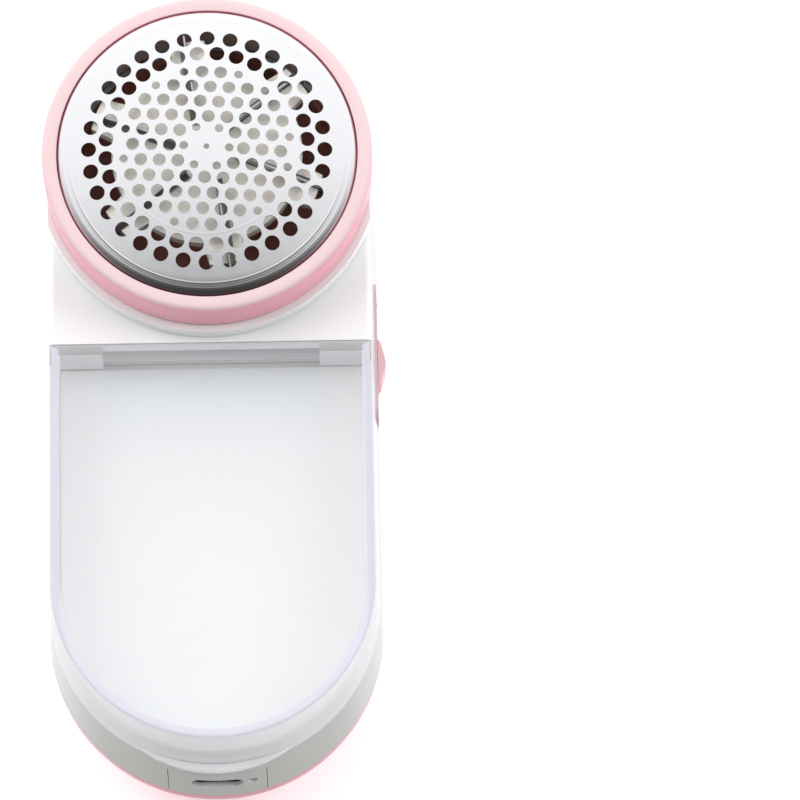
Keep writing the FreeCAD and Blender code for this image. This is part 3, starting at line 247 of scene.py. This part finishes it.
finish_nodes(black_cap, "motor_end_cap")
finish_nodes(brass, "motor_terminal_left", "motor_terminal_right")
finish_nodes(copper, "motor_commutator")
finish_nodes(ferrite, "motor_magnets")
finish_nodes(laminated, "motor_rotor")
finish_nodes(plain_steel, "motor_shaft", "motor_screws")

# ------------------------------------------------------------------ battery
# Cylindrical lithium cell in a plain blue shrunk sleeve, with a card washer and two welded nickel strips.
sleeve, tree, shader = finish_of("cell_sleeve")
tree.links.new(
    two_tone(tree, grain(tree, 90.0, 2.0), (0.05, 0.22, 0.46), (0.04, 0.18, 0.40)),
    shader.inputs["Base Color"],
)
tree.links.new(between(tree, grain(tree, 700.0), 0.2, 0.34), shader.inputs["Roughness"])
raise_grain(tree, shader, grain(tree, 350.0, 2.0, (1, 0.15, 1)), 0.00002)
shader.inputs["Coat Weight"].default_value = 0.4
card = moulded("insulating_card", (0.72, 0.68, 0.55), (0.60, 0.56, 0.44), 0.85, 0.00004)
nickel = metal("nickel_strip", (0.66, 0.63, 0.57), (0.52, 0.50, 0.45), 0.3, 1200.0, (0.1, 1, 1))
finish_nodes(sleeve, "battery_cell")
finish_nodes(card, "battery_washer")
finish_nodes(nickel, "battery_tab_plus", "battery_tab_minus")

# ------------------------------------------------------------------ circuit board
# Green charging board with a controller, three small capacitors and the charging light, on two screws.
mask, tree, shader = finish_of("solder_mask")
place = tree.nodes.new("ShaderNodeTexCoord")
tracks = tree.nodes.new("ShaderNodeTexBrick")
tracks.inputs["Scale"].default_value = 260.0
tracks.inputs["Mortar Size"].default_value = 0.06
tracks.inputs["Color1"].default_value = (0.012, 0.115, 0.045, 1)
tracks.inputs["Color2"].default_value = (0.015, 0.13, 0.05, 1)
tracks.inputs["Mortar"].default_value = (0.03, 0.22, 0.09, 1)
tree.links.new(place.outputs["Object"], tracks.inputs["Vector"])
tree.links.new(tracks.outputs["Color"], shader.inputs["Base Color"])
tree.links.new(between(tree, grain(tree, 900.0), 0.25, 0.4), shader.inputs["Roughness"])
raise_grain(tree, shader, tracks.outputs["Fac"], 0.00003)
tan_ceramic = moulded("tan_ceramic", (0.52, 0.38, 0.24), (0.42, 0.30, 0.18), 0.5, 0.00001)
lamp_clear, tree, shader = finish_of("lamp_clear")
tree.links.new(
    two_tone(tree, grain(tree, 500.0), (0.94, 0.93, 0.88), (0.88, 0.88, 0.84)), shader.inputs["Base Color"]
)
tree.links.new(between(tree, grain(tree, 900.0), 0.12, 0.24), shader.inputs["Roughness"])
raise_grain(tree, shader, grain(tree, 1500.0), 0.000004)
shader.inputs["Transmission Weight"].default_value = 0.6
finish_nodes(mask, "circuit_board")
finish_nodes(black_cap, "charge_chip")
finish_nodes(tan_ceramic, "board_capacitors")
finish_nodes(lamp_clear, "charge_led", "light_pipe")
finish_nodes(plain_steel, "board_screws")

# ------------------------------------------------------------------ charging socket
# USB-C socket: a drawn and plated shell round a black contact tongue, behind a mouth in the tail wall.
finish_nodes(plated, "usb_shell")
finish_nodes(black_cap, "usb_tongue")

# ------------------------------------------------------------------ leads
# Vinyl-covered leads from the cell, the switch and the motor to the board, cut to length and soldered.
def vinyl(name, colour, shade):
    return moulded(name, colour, shade, 0.42, 0.000015)


red_vinyl = vinyl("red_vinyl", (0.55, 0.03, 0.03), (0.45, 0.02, 0.02))
black_vinyl = vinyl("black_vinyl", (0.025, 0.025, 0.026), (0.015, 0.015, 0.016))
yellow_vinyl = vinyl("yellow_vinyl", (0.75, 0.52, 0.05), (0.65, 0.43, 0.04))
finish_nodes(red_vinyl, "battery_lead_red", "motor_lead_red")
finish_nodes(black_vinyl, "battery_lead_black", "motor_lead_black")
finish_nodes(yellow_vinyl, "switch_lead")

# ------------------------------------------------------------------ switch
# Small slide switch on a plated bracket behind the right wall, a pink trim plate, and the pink thumb slider.
finish_nodes(black_cap, "switch_body", "switch_lever")
finish_nodes(brass, "switch_terminals")
finish_nodes(plated, "switch_bracket")
finish_nodes(plain_steel, "switch_screws")
finish_nodes(pink, "switch_plate", "switch_slider")

# ------------------------------------------------------------------ front shell
# Glossy white moulding: the front of the handle, the seat of the lint box and the collar round the head.
# Painted shade: upright faces of the white mouldings are darkened to this tone.
painted_wall_shade = (0.53, 0.535, 0.505)
white = moulded(
    "white_plastic",
    (0.87, 0.875, 0.875),
    (0.86, 0.865, 0.865),
    rough=0.22,
    texture=0.0000004,
    coat=0.4,
    side=painted_wall_shade,
    uneven=0.04,
)
finish_nodes(white, "port_panel")

# The shell itself carries painted light on its collar and on the wall with the throat, whose upright faces
# turn near white, and a painted cool shade on the pad before the throat. These tones are chosen to follow the
# photograph.
shell_white = white.copy()
shell_white.name = "white_shell"
tree = shell_white.node_tree
shader = tree.nodes["Principled BSDF"]
upright = shader.inputs["Base Color"].links[0].from_node
place = tree.nodes.new("ShaderNodeTexCoord")
along = tree.nodes.new("ShaderNodeSeparateXYZ")
sideways = tree.nodes.new("ShaderNodeMath")
sideways.operation = "ABSOLUTE"
tree.links.new(place.outputs["Object"], along.inputs[0])
tree.links.new(along.outputs["X"], sideways.inputs[0])


def rise(signal, start, stop):
    """0 at start, 1 at stop, and smooth between them; start may be the larger."""
    ramp = tree.nodes.new("ShaderNodeMapRange")
    ramp.interpolation_type = "SMOOTHSTEP"
    ramp.inputs["From Min"].default_value, ramp.inputs["From Max"].default_value = start, stop
    tree.links.new(signal, ramp.inputs["Value"])
    return ramp.outputs["Result"]


def combined(operation, first, *others):
    """The signals joined one after another by the same operation."""
    for other in others:
        node = tree.nodes.new("ShaderNodeMath")
        node.operation = operation
        tree.links.new(first, node.inputs[0])
        tree.links.new(other, node.inputs[1])
        first = node.outputs[0]
    return first


throat_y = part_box("lint_box")[1].y
pad_z, seat_z, front_z = 0.0305, 0.0285, 0.0420
throat_half_width, seat_half_width = 0.0192, 0.0284
# Painted shade: the pad fades to cool grey-blue towards the throat, standing in for the shade there.
pad_shade_mask = combined(
    "MULTIPLY",
    rise(along.outputs["Y"], throat_y - 0.019, throat_y - 0.001),
    rise(sideways.outputs[0], throat_half_width + 0.0008, throat_half_width - 0.0009),
    rise(along.outputs["Z"], pad_z + 0.0006, pad_z + 0.0003),
    rise(along.outputs["Z"], pad_z - 0.0006, pad_z - 0.0003),
    rise(along.outputs["Y"], throat_y + 0.0025, throat_y + 0.0010),
)
throat_wall_light_mask = combined(
    "MULTIPLY",
    rise(along.outputs["Z"], seat_z, seat_z + 0.0010),
    rise(along.outputs["Y"], throat_y - 0.004, throat_y - 0.002),
    rise(along.outputs["Y"], throat_y + 0.006, throat_y + 0.004),
    rise(sideways.outputs[0], seat_half_width + 0.0002, seat_half_width - 0.0002),
)
# Painted light on the collar and the throat wall; the other upright faces keep the painted wall shade.
collar_light_mask = rise(along.outputs["Z"], front_z - 0.0020, front_z + 0.0010)
wall_light_and_shade = tree.nodes.new("ShaderNodeMix")
wall_light_and_shade.data_type = "RGBA"
wall_light_and_shade.inputs[6].default_value = (*painted_wall_shade, 1)
wall_light_and_shade.inputs[7].default_value = (0.97, 0.975, 1.0, 1)
tree.links.new(combined("MAXIMUM", collar_light_mask, throat_wall_light_mask), wall_light_and_shade.inputs[0])
tree.links.new(wall_light_and_shade.outputs[2], upright.inputs[6])
painted_pad_shade = tree.nodes.new("ShaderNodeMix")
painted_pad_shade.data_type = "RGBA"
painted_pad_shade.inputs[7].default_value = (0.80, 0.84, 0.90, 1)
tree.links.new(pad_shade_mask, painted_pad_shade.inputs[0])
tree.links.new(upright.outputs[2], painted_pad_shade.inputs[6])
tree.links.new(painted_pad_shade.outputs[2], shader.inputs["Base Color"])
finish_nodes(shell_white, "front_housing")

# ------------------------------------------------------------------ cutter chamber and drive
# Reddish-brown cup over the motor's front, coloured as painted shade for the chamber seen through the foil; a
# felt washer round the shaft, and the nylon hub with its spring.
chamber_shade_brown = moulded("chamber_shade_cup", (0.55, 0.24, 0.18), (0.48, 0.20, 0.15), 0.5, 0.00001)
felt = moulded("felt", (0.42, 0.40, 0.35), (0.28, 0.27, 0.23), 0.95, 0.0002)
nylon = moulded("nylon", (0.80, 0.78, 0.70), (0.74, 0.72, 0.64), 0.4, 0.000008)
spring_steel = metal("spring_wire", (0.62, 0.62, 0.63), (0.48, 0.48, 0.50), 0.22, 2600.0)
finish_nodes(chamber_shade_brown, "chamber_liner")
finish_nodes(felt, "shaft_seal")
finish_nodes(nylon, "drive_hub")
finish_nodes(spring_steel, "carrier_spring")

# ------------------------------------------------------------------ cutter
# Cream rotor moulding with six ground steel blades pressed into its slots, running just under the foil.
cream = moulded("cream_plastic", (0.96, 0.925, 0.86), (0.93, 0.89, 0.82), 0.4, 0.00001)
blade_steel = metal(
    "blade_steel", (0.56, 0.56, 0.57), (0.36, 0.36, 0.37), 0.3, 1600.0,
    stretch=(0.2, 0.2, 3.0), height=0.000006,
)
finish_nodes(cream, "cutter_carrier")
finish_nodes(blade_steel, *[f"cutter_blade_{k + 1}" for k in range(6)])

# ------------------------------------------------------------------ foil
# Domed steel foil, blanked, stamped with shallow rings, punched and brushed round. Its rolled edge carries a
# painted dark reflection on the side towards the handle, chosen to follow the photograph.
foil_steel, tree, shader = finish_of("foil_steel")
place = tree.nodes.new("ShaderNodeTexCoord")
from_middle = tree.nodes.new("ShaderNodeVectorMath")
from_middle.operation = "SUBTRACT"
from_middle.inputs[1].default_value = (0, head_y, 0)
flat = tree.nodes.new("ShaderNodeVectorMath")
flat.operation = "MULTIPLY"
flat.inputs[1].default_value = (1, 1, 0)
reach = tree.nodes.new("ShaderNodeVectorMath")
reach.operation = "LENGTH"
tree.links.new(place.outputs["Object"], from_middle.inputs[0])
tree.links.new(from_middle.outputs[0], flat.inputs[0])
tree.links.new(flat.outputs[0], reach.inputs[0])
lathe_lines = tree.nodes.new("ShaderNodeTexNoise")
lathe_lines.noise_dimensions = "1D"
lathe_lines.inputs["Scale"].default_value = 5200.0
lathe_lines.inputs["Detail"].default_value = 3.0
tree.links.new(reach.outputs["Value"], lathe_lines.inputs["W"])
ramp_reach, half_ring = 27.0, 0.16
share = tree.nodes.new("ShaderNodeMapRange")
share.inputs["From Max"].default_value = ramp_reach / 1e3
tree.links.new(reach.outputs["Value"], share.inputs["Value"])
rings = tree.nodes.new("ShaderNodeValToRGB")
rings.color_ramp.elements[0].color = rings.color_ramp.elements[1].color = (0, 0, 0, 1)
for ring_radius, height in ((1.1, 0.3), (3.0, 0.2), (15.8, 0.2), (24.35, 0.9), (24.85, 0.7)):
    for step, level in ((-half_ring, 0.0), (0.0, height), (half_ring, 0.0)):
        rings.color_ramp.elements.new((ring_radius + step) / ramp_reach).color = (level, level, level, 1)
tree.links.new(share.outputs["Result"], rings.inputs["Fac"])
stamped = tree.nodes.new("ShaderNodeBump")
stamped.inputs["Distance"].default_value = 0.00005
stamped.inputs["Strength"].default_value = 1.0
brushed = tree.nodes.new("ShaderNodeBump")
brushed.inputs["Distance"].default_value = 0.0000006
tree.links.new(rings.outputs["Color"], stamped.inputs["Height"])
tree.links.new(lathe_lines.outputs["Fac"], brushed.inputs["Height"])
tree.links.new(stamped.outputs["Normal"], brushed.inputs["Normal"])
tree.links.new(brushed.outputs["Normal"], shader.inputs["Normal"])
# Painted reflection: the rolled edge darkens towards the handle, standing in for the dim room it would
# mirror.
painted_rim_reflection = tree.nodes.new("ShaderNodeMix")
painted_rim_reflection.data_type = "RGBA"
painted_rim_reflection.inputs[7].default_value = (0.15, 0.135, 0.135, 1)
reflection_shift, reflection_start, reflection_full = 0.006, 0.0288, 0.0322
off_middle = tree.nodes.new("ShaderNodeVectorMath")
off_middle.operation = "SUBTRACT"
off_middle.inputs[1].default_value = (0, reflection_shift, 0)
off_reach = tree.nodes.new("ShaderNodeVectorMath")
off_reach.operation = "LENGTH"
tree.links.new(flat.outputs[0], off_middle.inputs[0])
tree.links.new(off_middle.outputs[0], off_reach.inputs[0])
edge = tree.nodes.new("ShaderNodeMapRange")
edge.interpolation_type = "SMOOTHSTEP"
edge.inputs["From Min"].default_value, edge.inputs["From Max"].default_value = reflection_start, reflection_full
tree.links.new(off_reach.outputs["Value"], edge.inputs["Value"])
tree.links.new(edge.outputs["Result"], painted_rim_reflection.inputs[0])
tree.links.new(
    two_tone(tree, lathe_lines.outputs["Fac"], (0.86, 0.865, 0.88), (0.80, 0.805, 0.82)), painted_rim_reflection.inputs[6]
)
tree.links.new(painted_rim_reflection.outputs[2], shader.inputs["Base Color"])
tree.links.new(between(tree, lathe_lines.outputs["Fac"], 0.13, 0.20), shader.inputs["Roughness"])
shader.inputs["Metallic"].default_value = 1.0
finish_nodes(foil_steel, "foil_plate")

# ------------------------------------------------------------------ foil ring
# Pink ring that screws off with the foil, with the white carrier and rubber seal inside it.
inner_white = moulded("inner_white", (0.86, 0.80, 0.76), (0.84, 0.78, 0.74), 0.4, 0.000006)
finish_nodes(inner_white, "foil_carrier")


def spun(name, outline, finish, slices=288):
    """A ring turned about the cutter's axis from a closed outline of (radius, height), in millimetres."""
    shape = bmesh.new()
    loops = []
    for k in range(slices):
        a = 2 * math.pi * k / slices
        right, on = math.cos(a) / 1e3, math.sin(a) / 1e3
        loops.append([shape.verts.new((r * right, head_y + r * on, z / 1e3)) for r, z in outline])
    for here, there in zip(loops, loops[1:] + loops[:1]):
        for k in range(len(outline)):
            m = (k + 1) % len(outline)
            shape.faces.new((here[k], there[k], there[m], here[m]))
    bmesh.ops.recalc_face_normals(shape, faces=shape.faces)
    made = bpy.data.objects.new(name, bpy.data.meshes.new(name))
    shape.to_mesh(made.data)
    shape.free()
    made.data.materials.append(finish)
    made.data.shade_smooth()
    made.data.set_sharp_from_angle(angle=math.radians(50))
    bpy.context.scene.collection.objects.link(made)
    return made


def rounding(r, z, radius, start, stop, steps):
    """Points along a rounding of that radius about (r, z), from one angle to another."""
    angles = [math.radians(start + (stop - start) * k / steps) for k in range(steps + 1)]
    return [(r + radius * math.cos(a), z + radius * math.sin(a)) for a in angles]


ring_low, ring_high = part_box("head_ring")
radius = (ring_high.x - ring_low.x) * 500
foot, top = ring_low.z * 1e3, ring_high.z * 1e3
foil_flange, lip_gap, lip_depth, ring_wall = 0.7, 0.05, 4.4, 1.8
foot_round, top_round, lip_round = 0.3, 1.0, 0.15
lip = foil_half - foil_flange + lip_gap
outline = [(radius - ring_wall, foot), (radius - foot_round - 0.05, foot)]
outline += rounding(radius - foot_round, foot + foot_round, foot_round, -60, 0, 4)
outline += rounding(radius - top_round, top - top_round - 0.05, top_round, 0, 80, 9)
outline += [(radius - top_round - 0.3, top - 0.01), (lip + 0.9, top)]
outline += rounding(lip + lip_round, top - lip_round, lip_round, 90, 180, 4)
outline += [(lip, top - lip_depth), (radius - ring_wall, top - lip_depth)]
pink_ring = spun("foil_ring", outline, pink)
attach(pink_ring, "ring")
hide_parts("head_ring")
rubber = moulded("black_rubber", (0.03, 0.03, 0.03), (0.02, 0.02, 0.02), 0.7, 0.00002)
finish_nodes(rubber, "ring_seal")

# ------------------------------------------------------------------ lint box
# Clear moulded box, open at the back and towards the cutter, that slides off over the pad towards the tail.
# Its flat front is polished and looks nearly white; its walls look violet where the eye looks along them.
box_low, box_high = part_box("lint_box")
box_wall, end_wall, throat_half, edge_round, inner_round = 1.7, 1.25, throat_half_width * 1e3, 0.6, 0.8
box_foot, box_top, box_head = box_low.z * 1e3, box_high.z * 1e3, box_high.y * 1e3
parting_z, wall_rise = 14.0, 28.0
half_front, half_parting = 28.5, 29.8
tail_front, tail_parting = -74.3 + head_y * 1e3, -77.0 + head_y * 1e3


def handle_at(z):
    """The handle's half width, and the middle of its round tail, at a height."""
    up = (z - parting_z) / wall_rise
    return half_parting + (half_front - half_parting) * up, tail_parting + (tail_front - tail_parting) * up


def box_outline(z, inset, head, steps=72):
    """The box's outline at a height: along the right side, round the tail, and back along the left side."""
    half, tail = handle_at(z)
    half -= inset
    points = [(half, head - (head - tail) * k / 12, z) for k in range(12)]
    for k in range(steps + 1):
        a = math.pi * k / steps
        points.append((half * math.cos(a), tail - half * math.sin(a), z))
    return points + [(-half, tail + (head - tail) * k / 12, z) for k in range(1, 13)]


def stacked(name, outlines):
    """A closed solid through outlines with the same number of points, from the lowest to the highest."""
    shape = bmesh.new()
    loops = [[shape.verts.new([v / 1e3 for v in point]) for point in outline] for outline in outlines]
    for low, high in zip(loops, loops[1:]):
        for k in range(len(low)):
            m = (k + 1) % len(low)
            shape.faces.new((low[k], low[m], high[m], high[k]))
    shape.faces.new(loops[0][::-1])
    shape.faces.new(loops[-1])
    bmesh.ops.recalc_face_normals(shape, faces=shape.faces)
    made = bpy.data.objects.new(name, bpy.data.meshes.new(name))
    shape.to_mesh(made.data)
    shape.free()
    bpy.context.scene.collection.objects.link(made)
    return made


def end_cut(name, half_x, top_z):
    """A block that cuts through the box's head end, up to a height."""
    y0, y1 = box_head - 4, box_head + 5
    corners = ((half_x, y0), (half_x, y1), (-half_x, y1), (-half_x, y0))
    return stacked(name, [[(x, y, z) for x, y in corners] for z in (20.0, top_z)])


def cut_with(piece, tools):
    """Cuts the tools out of the piece, and takes them away."""
    for tool in tools:
        cut = piece.modifiers.new("cut", "BOOLEAN")
        cut.operation, cut.solver, cut.object = "DIFFERENCE", "EXACT", tool
    bpy.context.view_layer.update()
    done = bpy.data.meshes.new_from_object(piece.evaluated_get(bpy.context.evaluated_depsgraph_get()))
    piece.modifiers.clear()
    piece.data = done
    for tool in tools:
        bpy.data.objects.remove(tool)


levels = [(box_foot, 0.0), (32.0, 0.0), (37.0, 0.0), (box_top - edge_round, 0.0)]
for k in range(1, 6):
    a = math.radians(18 * k)
    levels.append((box_top - edge_round + edge_round * math.sin(a), edge_round * (1 - math.cos(a))))
levels.append((box_top, box_wall))
clear_box = stacked("lint_box_shell", [box_outline(z, inset, box_head - inset * 0.5) for z, inset in levels])
ceiling = box_top - box_wall
hollow_levels = [(box_foot - 1, 0.0), (ceiling - inner_round, 0.0)]
for k in range(1, 5):
    a = math.radians(22.5 * k)
    hollow_levels.append((ceiling - inner_round + inner_round * math.sin(a), inner_round * (1 - math.cos(a))))
foot_gap_half, foot_gap_top = 27.4, 30.8
hollow = stacked(
    "hollow", [box_outline(z, box_wall + inset, box_head - end_wall - inset) for z, inset in hollow_levels]
)
throat = end_cut("throat", throat_half, ceiling)
cut_with(clear_box, [hollow, throat, end_cut("foot_gap", foot_gap_half, foot_gap_top)])


def clear_moulding(name, colour, shade, least, most, tint):
    """Clear plastic: how much its surface shows, face on and edge on, and the tint of what is behind it."""
    made, tree, shader = finish_of(name)
    tree.links.new(two_tone(tree, grain(tree, 40.0), colour, shade), shader.inputs["Base Color"])
    tree.links.new(between(tree, grain(tree, 500.0), 0.05, 0.09), shader.inputs["Roughness"])
    raise_grain(tree, shader, grain(tree, 900.0), 0.0000008)
    shader.inputs["IOR"].default_value = 1.49
    through = tree.nodes.new("ShaderNodeBsdfTransparent")
    through.inputs["Color"].default_value = (*tint, 1)
    edge_on = tree.nodes.new("ShaderNodeLayerWeight")
    edge_on.inputs["Blend"].default_value = 0.3
    share = tree.nodes.new("ShaderNodeMapRange")
    share.inputs["To Min"].default_value, share.inputs["To Max"].default_value = least, most
    blend = tree.nodes.new("ShaderNodeMixShader")
    tree.links.new(edge_on.outputs["Facing"], share.inputs["Value"])
    tree.links.new(share.outputs["Result"], blend.inputs[0])
    tree.links.new(through.outputs[0], blend.inputs[1])
    tree.links.new(shader.outputs[0], blend.inputs[2])
    tree.links.new(blend.outputs[0], tree.nodes["Material Output"].inputs["Surface"])
    return made


clear_front = clear_moulding(
    "clear_front", (0.97, 0.98, 0.99), (0.955, 0.968, 0.98), least=0.2, most=0.85, tint=(1.0, 1.0, 1.0)
)
clear_inside = clear_moulding(
    "clear_inside", (0.97, 0.98, 0.99), (0.955, 0.968, 0.98), least=0.0, most=0.5, tint=(0.99, 0.995, 1.0)
)
violet_edge = clear_moulding(
    "violet_edge", (0.71, 0.69, 0.775), (0.69, 0.67, 0.76), least=0.80, most=0.95, tint=(0.95, 0.94, 0.99)
)
clear_wall = clear_moulding(
    "clear_wall", (0.97, 0.98, 0.98), (0.955, 0.965, 0.965), least=0.5, most=0.85, tint=(0.97, 0.975, 0.985)
)
for finish in (clear_front, violet_edge, clear_wall, clear_inside):
    clear_box.data.materials.append(finish)
on_front, on_edge, on_wall, on_inside = range(4)
level_normal, outline_corners = 0.7, 20
for face in clear_box.data.polygons:
    if face.normal.z < -level_normal:
        face.material_index = on_inside if face.center.z * 1e3 > ceiling - 1 else on_edge
    elif face.normal.z < level_normal:
        face.material_index = on_wall
    elif len(face.vertices) > outline_corners or face.center.y * 1e3 > box_head - 2:
        face.material_index = on_front
    else:
        face.material_index = on_edge
soften = clear_box.modifiers.new("edges", "BEVEL")
soften.width, soften.segments, soften.limit_method = 0.00012, 2, "ANGLE"
soften.angle_limit = math.radians(50)
clear_box.data.shade_smooth()
clear_box.data.set_sharp_from_angle(angle=math.radians(32))
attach(clear_box, "box")
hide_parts("lint_box")

# Crescent ledge for a fingernail, part of the same moulding, along the back edge of its round end.
lip_half, lip_thick, lip_edge, lip_overlap = 12.8, 1.6, 0.3, 0.05
wall, tail = handle_at(box_foot)
tip = box_low.y * 1e3
reach_out = tail - wall - tip
sag = wall - math.sqrt(wall**2 - lip_half**2) + reach_out
bow = (lip_half**2 + sag**2) / (2 * sag)
across = [lip_half * (1 - k / 24) for k in range(49)]
outer_edge = [(x, tip + bow - math.sqrt(bow**2 - x**2)) for x in across[1:-1]]
inner_edge = [(x, tail - math.sqrt(wall**2 - x**2) + lip_overlap) for x in across[::-1]]
crescent = outer_edge + inner_edge
bevelled = 0.25
heights = [(box_foot, 0.0), (box_foot + lip_thick - lip_edge, 0.0), (box_foot + lip_thick, bevelled)]
lip_piece = stacked(
    "lint_box_lip", [[(x * (1 - cut / 40), y + cut * 0.6, z) for x, y in crescent] for z, cut in heights]
)
lip_clear = clear_moulding(
    "clear_lip", (0.98, 0.985, 0.985), (0.96, 0.965, 0.97), least=0.6, most=0.9, tint=(0.98, 0.98, 0.99)
)
lip_piece.data.materials.append(lip_clear)
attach(lip_piece, "box")
